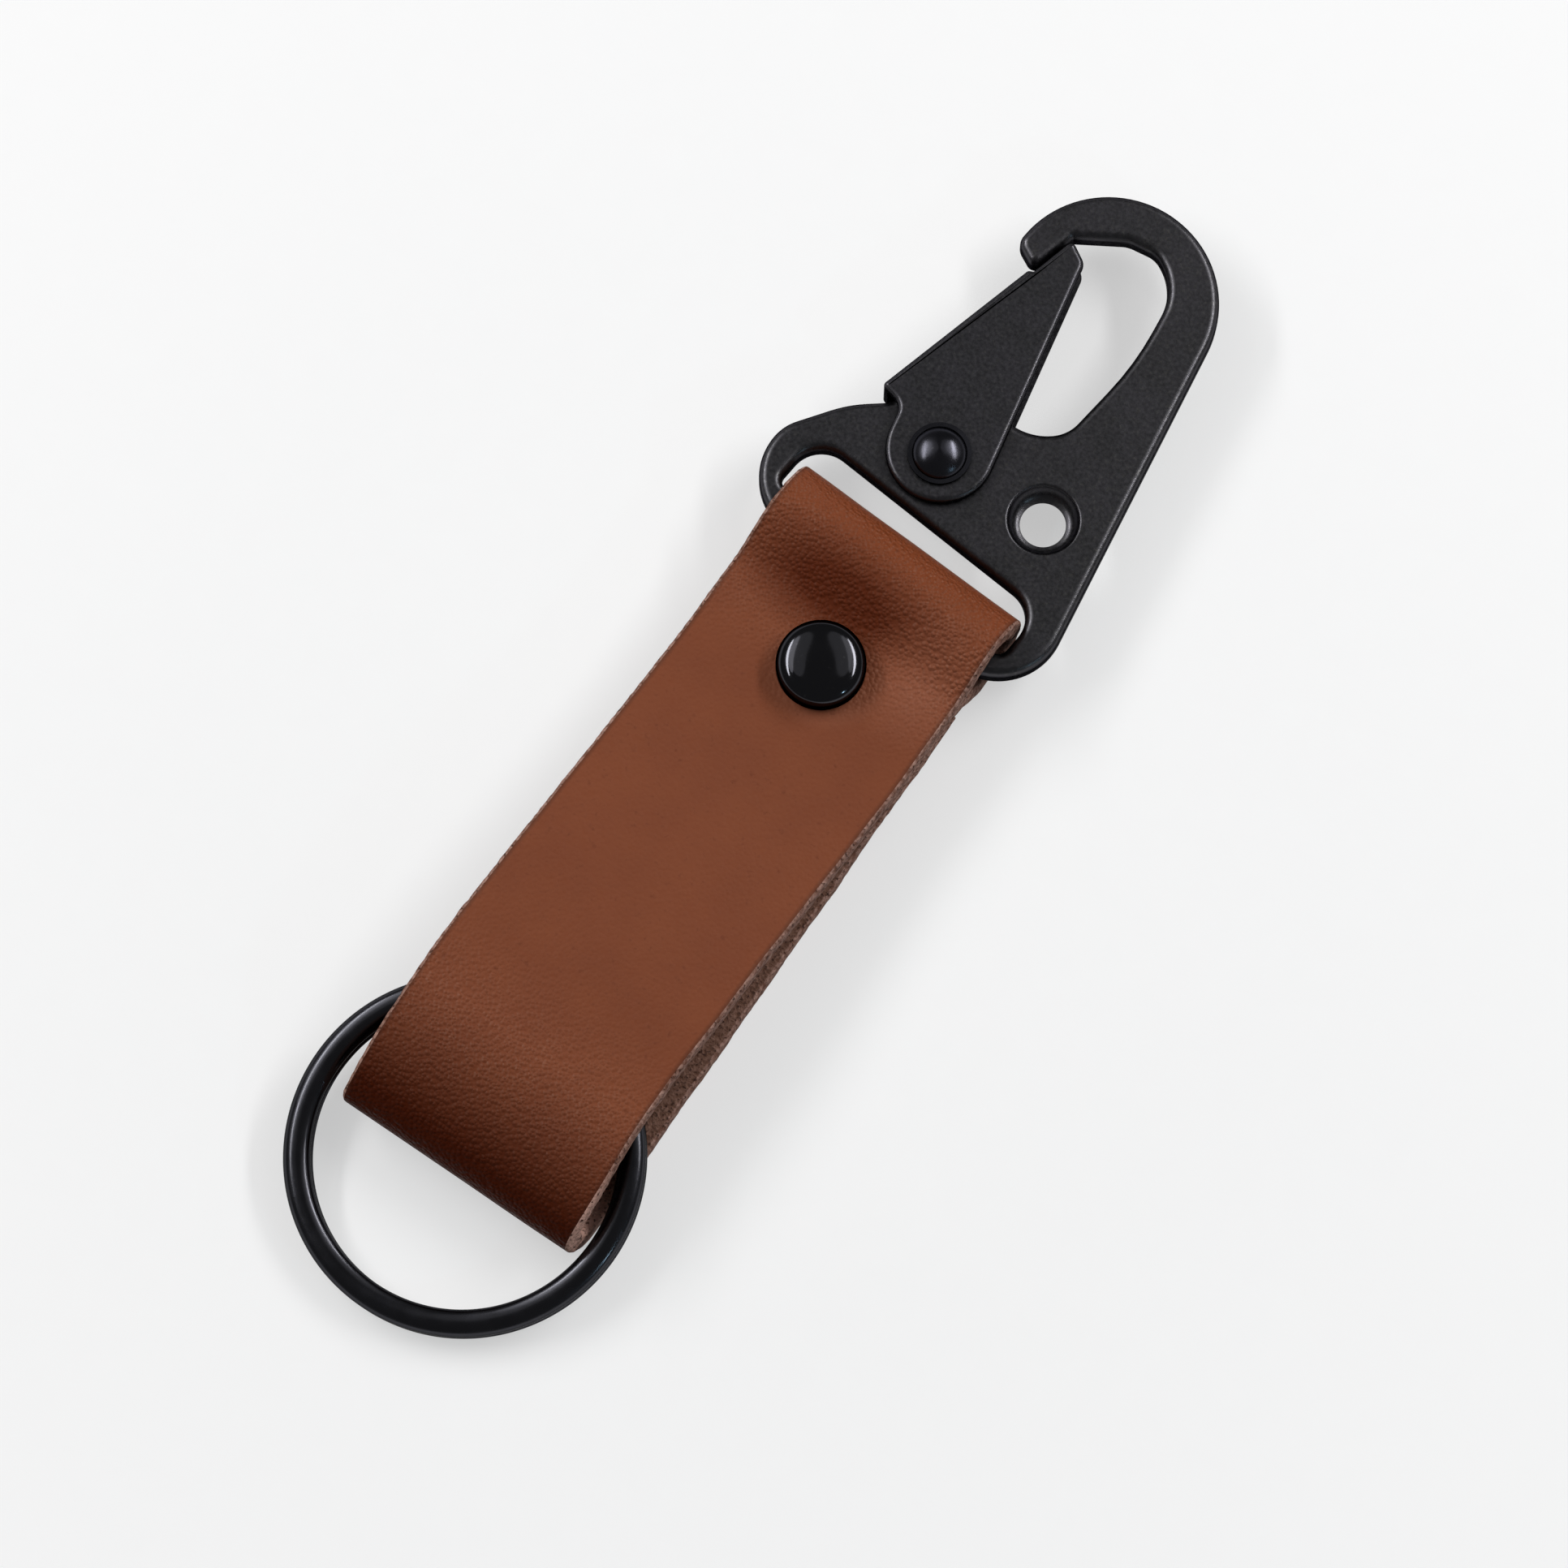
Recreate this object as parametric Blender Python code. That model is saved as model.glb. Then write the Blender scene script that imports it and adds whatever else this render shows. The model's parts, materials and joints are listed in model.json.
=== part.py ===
"""A leather key fob: a brown strap folded round a snap clip at one end and a split ring at the other.

X runs across the strap, Y runs along it towards the clip, and Z points up from
the table that the fob lies on, face up. Lengths are in metres.
"""

from math import acos, atan2, ceil, cos, pi, radians, sin, tan

import bmesh
import bpy
import numpy as np
from mathutils import Matrix, Vector

# Clearances
SEAT_GAP = 0.0003
LAYER_GAP = 0.00015
PIN_GAP = 0.0002
CUT_OVERRUN = 0.002
MERGE_DISTANCE = 0.0000003

# Leather strap
STRAP_WIDTH = 0.024
LEATHER = 0.002
SKIVED = 0.0012
SKIVED_TIP = 0.0009
SKIVE_TAPER = 0.0038
FOLD_HOLLOW = 0.0045
CLIP_FOLD_Y = 0.01445
RING_FOLD_Y = -0.05485
RIVET_FLAT = 0.0045
CLIP_RAMP_END = 0.0086
RING_RAMP_END = -0.036
BACK_RAMP_START = -0.0055
BACK_RAMP_END = -0.014
INNER_END_Y = -0.0064
OUTER_END_Y = 0.0042
EDGE_ROUND = 0.00025
CLIP_FOLD_SLANT = radians(1.2)
CLIP_FOLD_SHIFT = -0.00033
RING_FOLD_SLANT = radians(1.9)
RING_FOLD_SHIFT = 0.001
RING_SHIFT_START = -0.0395
BACK_SKEW = radians(2)
BACK_CROSSING_Y = -0.012

# Strap rivet
CAP_RADIUS = 0.004
FRONT_CAP_HEIGHT = 0.0024
BACK_CAP_HEIGHT = 0.0016
CAP_RIM = 0.0005
CAP_FULLNESS = 2.6
HEAD_FULLNESS = 2.2
POST_RADIUS = 0.0013
POST_IN_CAP = 0.0011

# Clip plate, measured from the middle of its strap bar
BAR_X = -0.00086
BAR_FROM_FOLD = 0.00048
CLIP_YAW = radians(-3.4)
PLATE = 0.0026
PLATE_BEVEL = 0.0003
BAR_WIDTH = 0.0028
SLOT_SIDE_GAP = 0.0007
SLOT_HEIGHT = 0.0055
SLOT_LOW_ROUND = 0.001
SLOT_HIGH_ROUND = 0.003
FRAME_WALL = 0.0031
LOBE_ROUND = 0.006
SHOULDER_Y = 0.0063
SHOULDER_ROUND = 0.0045
HEEL_X = -0.0096
HEEL_Y = 0.01365
HEEL_ROUND = 0.0004
HOOK_TOP = 0.04325
HOOK_CENTRE_X = -0.0009
HOOK_ROUND = 0.01005
HOOK_BAND = 0.00465
BACK_LEAN = radians(13.1)
ARCH_RIGHT = 0.00345
ARCH_RIGHT_ROUND = 0.0034
ARCH_LEFT = -0.0065
ARCH_LEFT_ROUND = 0.00485
THROAT_RIGHT = 0.0046
THROAT_TURN_Y = 0.0302
THROAT_TURN_ROUND = 0.012
THROAT_FLOOR = 0.01857
THROAT_LEFT_ROUND = 0.005
THROAT_ROUND = 0.0039
NOSE_X = -0.0078
NOSE_Y = 0.03125
NOSE_ROUND = 0.0004
NOSE_OUTER_X = -0.01055
NOSE_FACE_DROP = 0.00115
NOSE_HEEL_ROUND = 0.0009
EYELET_X = 0.00772
EYELET_Y = 0.0136
EYELET_HOLE = 0.00205
EYELET_RIM = 0.0034
EYELET_SINK = 0.0009

# Gate, its rivet and its spring
PIVOT_X = -0.003
PIVOT_Y = 0.01215
BOSS_RADIUS = 0.00625
GATE_SHEET = 0.00075
GATE_SIDE_GAP = 0.0003
GATE_EYE_RADIUS = 0.0046
GATE_NOTCH_X = -0.0111
GATE_NOTCH_Y = 0.014
GATE_NECK_X = -0.0086
GATE_NECK_DROP = 0.0012
GATE_NECK_ROUND = 0.0009
GATE_TIP_GAP = 0.0004
GATE_SHOULDER_DROP = 0.00065
GATE_LEDGE_RISE = 0.00025
GATE_TIP_Y = 0.0354
GATE_TIP_WIDTH = 0.00225
GATE_TIP_FALL = 0.0011
GATE_TIP_ROUND = 0.0011
GATE_TIP_OUTER_ROUND = 0.0005
GATE_SWING = radians(23)
GATE_BEVEL = 0.00018
SHANK_RADIUS = 0.0013
HEAD_FLANGE_RADIUS = 0.00285
HEAD_FLANGE = 0.0002
FRONT_HEAD_RADIUS = 0.0023
FRONT_HEAD_HEIGHT = 0.0015
REAR_HEAD_RADIUS = 0.0024
REAR_HEAD_HEIGHT = 0.0014
SPRING_WIRE = 0.00035
SPRING_RADIUS = 0.0022
SPRING_PITCH = 0.00095
SPRING_TURNS = 1.6
SPRING_LEG_RISE = 0.0033
SPRING_TAIL = 0.0025
SPRING_ROOM = 0.0004
POCKET_FLOOR = 0.0005

# Split ring
RING_X = 0.00057
RING_PAST_FOLD = 0.00205
RING_SIDE_ROOM = 0.00135
RING_BAND = 0.0024
RING_WIRE = 0.00105
RING_TURN_GAP = 0.00045
RING_WIRE_ROUND = 0.0004
RING_CROSSING = radians(26)
RING_END_SPACE = radians(4.5)
RING_TILT = radians(6.5)
RING_LIFT = 0.00005

# Fineness
ARC_STEP = radians(11)
SMOOTH_ANGLE = radians(35)
BEVEL_ANGLE = radians(40)
PLATE_BEVEL_STEPS = 2
GATE_BEVEL_STEPS = 1
DOME_STEPS = 8
TAPER_STEPS = 2
FOLD_STEPS = 14
RAMP_STEPS = 8
LONG_RAMP_STEPS = 14
ROUND_SIDES = 48
HOLE_SIDES = 32
RING_STEP = radians(5)
SPRING_SIDES_PER_TURN = 10


# Derived places
FOLD_HEIGHT = FOLD_HOLLOW + 2 * LEATHER
FOLD_MIDDLE = FOLD_HEIGHT / 2
BEND_RADIUS = (FOLD_HOLLOW + LEATHER) / 2
CLIP_FOLD_CENTRE = CLIP_FOLD_Y - FOLD_HEIGHT / 2
RING_FOLD_CENTRE = RING_FOLD_Y + FOLD_HEIGHT / 2
BAR_Y = CLIP_FOLD_CENTRE - BAR_FROM_FOLD
STRAP_UNDER = BACK_CAP_HEIGHT + SEAT_GAP
OUTER_END_Z = STRAP_UNDER + SKIVED / 2
INNER_END_Z = OUTER_END_Z + SKIVED + LAYER_GAP
FRONT_AT_RIVET_Z = INNER_END_Z + SKIVED / 2 + LAYER_GAP + LEATHER / 2
STRAP_TOP_AT_RIVET = FRONT_AT_RIVET_Z + LEATHER / 2
FRONT_Z = FOLD_HEIGHT - LEATHER / 2
BACK_Z = LEATHER / 2
SLOT_HALF = STRAP_WIDTH / 2 + SLOT_SIDE_GAP
SLOT_TOP = BAR_WIDTH / 2 + SLOT_HEIGHT
FRAME_HALF = SLOT_HALF + FRAME_WALL
HOOK_CENTRE_Y = HOOK_TOP - HOOK_ROUND
CHEEK_FACE = PLATE / 2 + GATE_SIDE_GAP + GATE_SHEET
RING_HEIGHT = 2 * RING_WIRE + RING_TURN_GAP
RING_RADIUS = STRAP_WIDTH / 2 + RING_SIDE_ROOM + RING_BAND
RING_Y = RING_FOLD_Y + RING_PAST_FOLD
RING_MIDDLE_RADIUS = RING_RADIUS - RING_BAND / 2
RING_Z = RING_RADIUS * sin(RING_TILT) + RING_HEIGHT / 2 * cos(RING_TILT) + RING_LIFT
RING_REACH_Y = RING_Y - RING_RADIUS * cos(RING_TILT) - RING_HEIGHT / 2 * sin(RING_TILT)
CLIP_REACH_Y = BAR_Y + HOOK_TOP * cos(CLIP_YAW)
DATUM_Y = -(RING_REACH_Y + CLIP_REACH_Y) / 2


# Shared making
def clear_scene():
    for item in list(bpy.data.objects):
        bpy.data.objects.remove(item)


def material(name, colour, roughness, metallic):
    made = bpy.data.materials.new(name)
    made.use_nodes = True
    shader = made.node_tree.nodes["Principled BSDF"]
    shader.inputs["Base Color"].default_value = (*colour, 1)
    shader.inputs["Roughness"].default_value = roughness
    shader.inputs["Metallic"].default_value = metallic
    made.diffuse_color = (*colour, 1)
    return made


def leather_brown():
    return material("leather_brown", (0.195, 0.058, 0.03), 0.55, 0.0)


def clip_black():
    return material("clip_black", (0.028, 0.028, 0.031), 0.42, 0.9)


def gate_black():
    return material("gate_black", (0.03, 0.03, 0.034), 0.4, 0.9)


def rivet_black():
    return material("rivet_black", (0.012, 0.012, 0.013), 0.15, 0.9)


def ring_black():
    return material("ring_black", (0.01, 0.01, 0.011), 0.12, 0.9)


def spring_steel():
    return material("spring_steel", (0.5, 0.49, 0.47), 0.3, 1.0)


def empty(name, location, yaw, parent):
    made = bpy.data.objects.new(name, None)
    bpy.context.scene.collection.objects.link(made)
    made.location = location
    made.rotation_euler.z = yaw
    made.parent = parent
    return made


def finish_mesh(name, shape, parent, look):
    """Makes an object of a bmesh, smooth apart from its sharp edges."""
    bmesh.ops.recalc_face_normals(shape, faces=shape.faces)
    mesh = bpy.data.meshes.new(name)
    shape.to_mesh(mesh)
    shape.free()
    mesh.shade_smooth()
    mesh.set_sharp_from_angle(angle=SMOOTH_ANGLE)
    made = bpy.data.objects.new(name, mesh)
    bpy.context.scene.collection.objects.link(made)
    made.parent = parent
    if look:
        mesh.materials.append(look)
    return made


def cut(body, cutter):
    """Takes the cutter's shape out of the body."""
    cutter.hide_render = True
    cutter.display_type = "WIRE"
    modifier = body.modifiers.new("cut_" + cutter.name, "BOOLEAN")
    modifier.operation = "DIFFERENCE"
    modifier.solver = "EXACT"
    modifier.object = cutter


def break_edges(body, width, segments):
    modifier = body.modifiers.new("broken_edges", "BEVEL")
    modifier.width = width
    modifier.segments = segments
    modifier.limit_method = "ANGLE"
    modifier.angle_limit = BEVEL_ANGLE


def turn_corner(before, corner, after, radius):
    """Points along the arc that rounds a corner."""
    if radius == 0:
        return [corner]
    back = (before - corner).normalized()
    ahead = (after - corner).normalized()
    half = back.angle(ahead) / 2
    centre = corner + (back + ahead).normalized() * (radius / sin(half))
    start = corner + back * (radius / tan(half)) - centre
    turn = (pi - 2 * half) * (1 if back.cross(ahead) < 0 else -1)
    count = max(1, ceil(abs(turn) / ARC_STEP))
    return [centre + Matrix.Rotation(turn * i / count, 2) @ start for i in range(count + 1)]


def rounded(corners):
    """A closed outline of corners (x, y, radius), each rounded by its radius, or by as much of it as the
    two sides of the corner have room for."""
    points = [Vector((x, y)) for x, y, radius in corners]
    count = len(points)
    reaches = []
    for i, (x, y, radius) in enumerate(corners):
        opening = (points[i - 1] - points[i]).angle(points[(i + 1) % count] - points[i])
        reaches.append(radius / tan(opening / 2))
    outline = []
    for i, (x, y, radius) in enumerate(corners):
        j = (i + 1) % count
        behind = (points[i] - points[i - 1]).length / max(reaches[i - 1] + reaches[i], MERGE_DISTANCE)
        ahead = (points[j] - points[i]).length / max(reaches[i] + reaches[j], MERGE_DISTANCE)
        outline += turn_corner(points[i - 1], points[i], points[j], radius * min(1, behind, ahead))
    return [point for i, point in enumerate(outline) if (point - outline[i - 1]).length > MERGE_DISTANCE]


def circle(x, y, radius, sides):
    turns = [2 * pi * i / sides for i in range(sides)]
    return [Vector((x + radius * cos(a), y + radius * sin(a))) for a in turns]


def prism(name, outline, low, high, parent, look=None):
    """An outline in XY, extruded from low to high."""
    shape = bmesh.new()
    rim = [shape.verts.new((point.x, point.y, low)) for point in outline]
    face = shape.faces.new(rim)
    raised = bmesh.ops.extrude_face_region(shape, geom=[face])["geom"]
    top = [item for item in raised if isinstance(item, bmesh.types.BMVert)]
    bmesh.ops.translate(shape, verts=top, vec=(0, 0, high - low))
    return finish_mesh(name, shape, parent, look)


def turned(name, profile, centre, sides, parent, look=None):
    """A profile of (radius, z), from axis to axis, spun about the vertical through centre."""
    shape = bmesh.new()
    points = [shape.verts.new((radius, 0, z)) for radius, z in profile]
    line = points + [shape.edges.new(pair) for pair in zip(points, points[1:])]
    bmesh.ops.spin(shape, geom=line, cent=(0, 0, 0), axis=(0, 0, 1), angle=2 * pi, steps=sides)
    bmesh.ops.remove_doubles(shape, verts=shape.verts, dist=MERGE_DISTANCE)
    made = finish_mesh(name, shape, parent, look)
    made.location = centre
    return made


def loft(name, sections, parent, look):
    """Closed sections of equal point count, bridged in order and capped at both ends."""
    shape = bmesh.new()
    rings = [[shape.verts.new(point) for point in section] for section in sections]
    count = len(rings[0])
    for here, there in zip(rings, rings[1:]):
        for i in range(count):
            j = (i + 1) % count
            shape.faces.new((here[i], here[j], there[j], there[i]))
    shape.faces.new(rings[0])
    shape.faces.new(rings[-1])
    return finish_mesh(name, shape, parent, look)


def dome(radius, height, rim, fullness):
    """The (radius, z) profile of a pressed cap: a short rim and a crown, which is an ellipse at a fullness of 2
    and flatter in the middle above that."""
    profile = [(radius, 0), (radius, rim)]
    for i in range(1, DOME_STEPS):
        a = pi / 2 * i / DOME_STEPS
        rise = (height - rim) * sin(a) ** (2 / fullness)
        profile.append((radius * cos(a) ** (2 / fullness), rim + rise))
    return profile + [(0, height)]


def disc(radius, height, rim):
    """The (radius, z) profile of a flat cap: a short rim, a quarter round and a level top."""
    profile = [(radius, 0), (radius, rim)]
    rise = height - rim
    for i in range(1, DOME_STEPS + 1):
        a = pi / 2 * i / DOME_STEPS
        profile.append((radius - rise * (1 - cos(a)), rim + rise * sin(a)))
    return profile


# Leather strap
def ease(share):
    share = min(1, max(0, share))
    return share * share * (3 - 2 * share)


def progress(value, start, end):
    """How far a value has come from start to end, from 0 to 1, with soft ends."""
    return ease((value - start) / (end - start))


def ramp(start_y, start_z, start_thick, end_y, end_z, end_thick, count):
    """Stations (y, z, thickness) along a layer that eases from one height to another."""
    stations = []
    for i in range(1, count + 1):
        share = i / count
        rise = ease(share)
        stations.append(
            (
                start_y + (end_y - start_y) * share,
                start_z + (end_z - start_z) * rise,
                start_thick + (end_thick - start_thick) * rise,
            )
        )
    return stations


def fold(centre_y, start_angle, turn):
    stations = []
    for i in range(1, FOLD_STEPS):
        angle = start_angle + turn * i / FOLD_STEPS
        y = centre_y + BEND_RADIUS * cos(angle)
        stations.append((y, FOLD_MIDDLE + BEND_RADIUS * sin(angle), LEATHER))
    return stations


def strap_route():
    """The strip's middle line from its inner end, round the clip fold, down the face, round the ring fold
    and back up to its outer end, as (y, z, thickness)."""
    route = [(INNER_END_Y, INNER_END_Z, SKIVED_TIP)]
    taper_end = INNER_END_Y + SKIVE_TAPER
    route += ramp(INNER_END_Y, INNER_END_Z, SKIVED_TIP, taper_end, INNER_END_Z, SKIVED, TAPER_STEPS)
    route += [(RIVET_FLAT, INNER_END_Z, SKIVED)]
    route += ramp(RIVET_FLAT, INNER_END_Z, SKIVED, CLIP_RAMP_END, BACK_Z, LEATHER, RAMP_STEPS)
    route += [(CLIP_FOLD_CENTRE, BACK_Z, LEATHER)]
    route += fold(CLIP_FOLD_CENTRE, -pi / 2, pi)
    route += [(CLIP_FOLD_CENTRE, FRONT_Z, LEATHER)]
    route += [(CLIP_RAMP_END, FRONT_Z, LEATHER)]
    route += ramp(CLIP_RAMP_END, FRONT_Z, LEATHER, RIVET_FLAT, FRONT_AT_RIVET_Z, LEATHER, RAMP_STEPS)
    route += [(-RIVET_FLAT, FRONT_AT_RIVET_Z, LEATHER)]
    route += ramp(-RIVET_FLAT, FRONT_AT_RIVET_Z, LEATHER, RING_RAMP_END, FRONT_Z, LEATHER, LONG_RAMP_STEPS)
    route += [(RING_FOLD_CENTRE, FRONT_Z, LEATHER)]
    route += fold(RING_FOLD_CENTRE, pi / 2, pi)
    route += [(RING_FOLD_CENTRE, BACK_Z, LEATHER)]
    route += [(BACK_RAMP_END, BACK_Z, LEATHER)]
    route += ramp(BACK_RAMP_END, BACK_Z, LEATHER, BACK_RAMP_START, OUTER_END_Z, SKIVED, RAMP_STEPS)
    route += ramp(BACK_RAMP_START, OUTER_END_Z, SKIVED, OUTER_END_Y, OUTER_END_Z, SKIVED_TIP, TAPER_STEPS)
    return route


def strap_shift(y, height_share):
    """How far the strip has wandered sideways: the face runs true but for its two folds, and the back lies
    askew behind it."""
    at_clip = progress(y, -RIVET_FLAT, CLIP_RAMP_END) * CLIP_FOLD_SHIFT
    face = at_clip + progress(y, RING_SHIFT_START, RING_FOLD_Y) * RING_FOLD_SHIFT
    back = at_clip + max(0, BACK_CROSSING_Y - y) * tan(BACK_SKEW)
    return back + (face - back) * height_share


def strap_slant(y):
    """How far the strip turns out of square with its length, as it nears either fold."""
    at_clip = progress(y, RIVET_FLAT, CLIP_FOLD_Y) * tan(CLIP_FOLD_SLANT)
    at_ring = progress(y, RING_RAMP_END, RING_FOLD_Y) * tan(RING_FOLD_SLANT)
    return at_ring - at_clip


def make_strap(parent):
    route = strap_route()
    sections = []
    for i, (y, z, thick) in enumerate(route):
        ahead = route[min(i + 1, len(route) - 1)]
        behind = route[max(i - 1, 0)]
        along = Vector((0, ahead[0] - behind[0], ahead[1] - behind[1])).normalized()
        across = Vector((0, -along.z, along.y))
        shift = strap_shift(y, progress(z, BACK_Z, FRONT_AT_RIVET_Z))
        slant = strap_slant(y)
        section = []
        for side, depth in rounded_box(STRAP_WIDTH / 2, thick / 2, EDGE_ROUND):
            point = Vector((0, y, z)) + across * depth
            section.append((side + shift, point.y + side * slant, point.z))
        sections.append(section)
    strap = loft("leather_strap", sections, parent, leather_brown())
    hole = circle(0, 0, POST_RADIUS + SEAT_GAP, HOLE_SIDES)
    cut(strap, prism("rivet_hole", hole, 0, FOLD_HEIGHT, parent))


def rounded_box(half_width, half_height, radius):
    """Eight points round a box whose corners are cut off by radius."""
    w = half_width - radius
    h = half_height - radius
    return [
        (w, -half_height),
        (half_width, -h),
        (half_width, h),
        (w, half_height),
        (-w, half_height),
        (-half_width, h),
        (-half_width, -h),
        (-w, -half_height),
    ]


# Strap rivet
def make_strap_rivet(parent):
    seat = STRAP_TOP_AT_RIVET + SEAT_GAP
    socket_radius = POST_RADIUS + PIN_GAP
    socket_depth = POST_IN_CAP + SEAT_GAP
    cap_profile = [(0, socket_depth), (socket_radius, socket_depth), (socket_radius, 0)]
    cap_profile += dome(CAP_RADIUS, FRONT_CAP_HEIGHT, CAP_RIM, CAP_FULLNESS)
    turned("rivet_front_cap", cap_profile, (0, 0, seat), ROUND_SIDES, parent, rivet_black())

    post_top = seat + POST_IN_CAP
    back = disc(CAP_RADIUS, BACK_CAP_HEIGHT, CAP_RIM)
    profile = [(0, 0)] + [(radius, BACK_CAP_HEIGHT - z) for radius, z in reversed(back)]
    profile += [(POST_RADIUS, BACK_CAP_HEIGHT), (POST_RADIUS, post_top), (0, post_top)]
    turned("rivet_back_cap", profile, (0, 0, 0), ROUND_SIDES, parent, rivet_black())


# Clip plate
def plate_outline():
    """The plate from the nose, round the outside of the hook, down the back, round the two lobes and the
    strap bar, up past the heel under the gate and round the inside of the hook to the nose again."""
    low = -BAR_WIDTH / 2
    back_low_x = HOOK_CENTRE_X + HOOK_ROUND / cos(BACK_LEAN) + (HOOK_CENTRE_Y - low) * tan(BACK_LEAN)
    back_top_x = HOOK_CENTRE_X + HOOK_ROUND * tan(pi / 4 - BACK_LEAN / 2)
    left_round = HOOK_CENTRE_X - NOSE_OUTER_X
    arch_top = HOOK_TOP - HOOK_BAND
    return rounded(
        [
            (NOSE_X, NOSE_Y, NOSE_ROUND),
            (NOSE_OUTER_X, NOSE_Y + NOSE_FACE_DROP, NOSE_HEEL_ROUND),
            (NOSE_OUTER_X, HOOK_TOP, left_round),
            (back_top_x, HOOK_TOP, HOOK_ROUND),
            (back_low_x, low, LOBE_ROUND),
            (-FRAME_HALF, low, LOBE_ROUND),
            (-FRAME_HALF, SHOULDER_Y, SHOULDER_ROUND),
            (HEEL_X, HEEL_Y, HEEL_ROUND),
            (PIVOT_X - BOSS_RADIUS, THROAT_FLOOR, THROAT_LEFT_ROUND),
            (THROAT_RIGHT, THROAT_FLOOR, THROAT_ROUND),
            (THROAT_RIGHT, THROAT_TURN_Y, THROAT_TURN_ROUND),
            (ARCH_RIGHT, arch_top, ARCH_RIGHT_ROUND),
            (ARCH_LEFT, arch_top, ARCH_LEFT_ROUND),
        ]
    )


def make_plate(clip):
    half = PLATE / 2
    through = half + CUT_OVERRUN
    plate = prism("clip_plate", plate_outline(), -half, half, clip, clip_black())
    slot = rounded(
        [
            (-SLOT_HALF, BAR_WIDTH / 2, SLOT_LOW_ROUND),
            (SLOT_HALF, BAR_WIDTH / 2, SLOT_LOW_ROUND),
            (SLOT_HALF, SLOT_TOP, SLOT_HIGH_ROUND),
            (-SLOT_HALF, SLOT_TOP, SLOT_HIGH_ROUND),
        ]
    )
    cut(plate, prism("strap_slot", slot, -through, through, clip))
    eyelet_side = [
        (0, -through),
        (EYELET_RIM, -through),
        (EYELET_RIM, -half),
        (EYELET_HOLE, -half + EYELET_SINK),
        (EYELET_HOLE, half - EYELET_SINK),
        (EYELET_RIM, half),
        (EYELET_RIM, through),
        (0, through),
    ]
    cut(plate, turned("eyelet_hole", eyelet_side, (EYELET_X, EYELET_Y, 0), HOLE_SIDES, clip))
    bore = circle(PIVOT_X, PIVOT_Y, SHANK_RADIUS + PIN_GAP, HOLE_SIDES)
    cut(plate, prism("pivot_bore", bore, -through, through, clip))
    break_edges(plate, PLATE_BEVEL, PLATE_BEVEL_STEPS)
    cut_spring_pocket(plate, through, clip)


def cut_spring_pocket(plate, top, clip):
    """The round pocket in the plate's face, the notch for the spring's tail and the way out for its leg."""
    pocket_radius = SPRING_RADIUS + SPRING_WIRE / 2 + SPRING_ROOM
    pocket = circle(PIVOT_X, PIVOT_Y, pocket_radius, HOLE_SIDES)
    cut(plate, prism("spring_pocket", pocket, POCKET_FLOOR - PLATE / 2, top, clip))
    room = SPRING_WIRE / 2 + SPRING_ROOM
    leave, end, first, tail = spring_ends()
    start = polar(SPRING_RADIUS, leave)
    outward = start.normalized()
    beyond = end + (end - start).normalized() * CUT_OVERRUN
    swung = Matrix.Rotation(-GATE_SWING, 2)
    way_out = [
        start - outward * room,
        beyond - outward * room,
        beyond + outward * room,
        swung @ (beyond + outward * room),
        swung @ (start + outward * room),
    ]
    low = spring_height(SPRING_TURNS) - SPRING_WIRE / 2 - LAYER_GAP
    cut(plate, prism("leg_way_out", from_bar(way_out), low, top, clip))
    tail_start = polar(SPRING_RADIUS, first)
    side = tail_start.normalized() * room
    tail_end = tail + (tail - tail_start).normalized() * SPRING_ROOM
    notch = [tail_start - side, tail_start + side, tail_end + side, tail_end - side]
    cut(plate, prism("tail_notch", from_bar(notch), POCKET_FLOOR - PLATE / 2, top, clip))


# Gate, its rivet and its spring, placed from the gate's pivot
def polar(radius, angle):
    return Vector((radius * cos(angle), radius * sin(angle)))


def from_bar(points):
    """Points that are given from the pivot, as seen from the middle of the strap bar."""
    return [point + Vector((PIVOT_X, PIVOT_Y)) for point in points]


def nose_face_x(y):
    """The nose's inner face at height y, from the pivot."""
    arch_top = HOOK_TOP - HOOK_BAND - PIVOT_Y
    nose_y = NOSE_Y - PIVOT_Y
    return NOSE_X - PIVOT_X + (ARCH_LEFT - NOSE_X) * (y - nose_y) / (arch_top - nose_y)


def spine_line():
    """The gate's outer side from its notch to the step under the nose, in by the ledge and up to its tip,
    which runs along the nose's inner face."""
    step_y = NOSE_Y - PIVOT_Y - GATE_SHOULDER_DROP
    ledge_y = step_y + GATE_LEDGE_RISE
    tip_y = GATE_TIP_Y - PIVOT_Y
    notch = Vector((GATE_NOTCH_X - PIVOT_X, GATE_NOTCH_Y - PIVOT_Y))
    step = Vector((nose_face_x(step_y), step_y))
    ledge = Vector((nose_face_x(ledge_y) + GATE_TIP_GAP, ledge_y))
    return notch, step, ledge, Vector((nose_face_x(tip_y) + GATE_TIP_GAP, tip_y))


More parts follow.
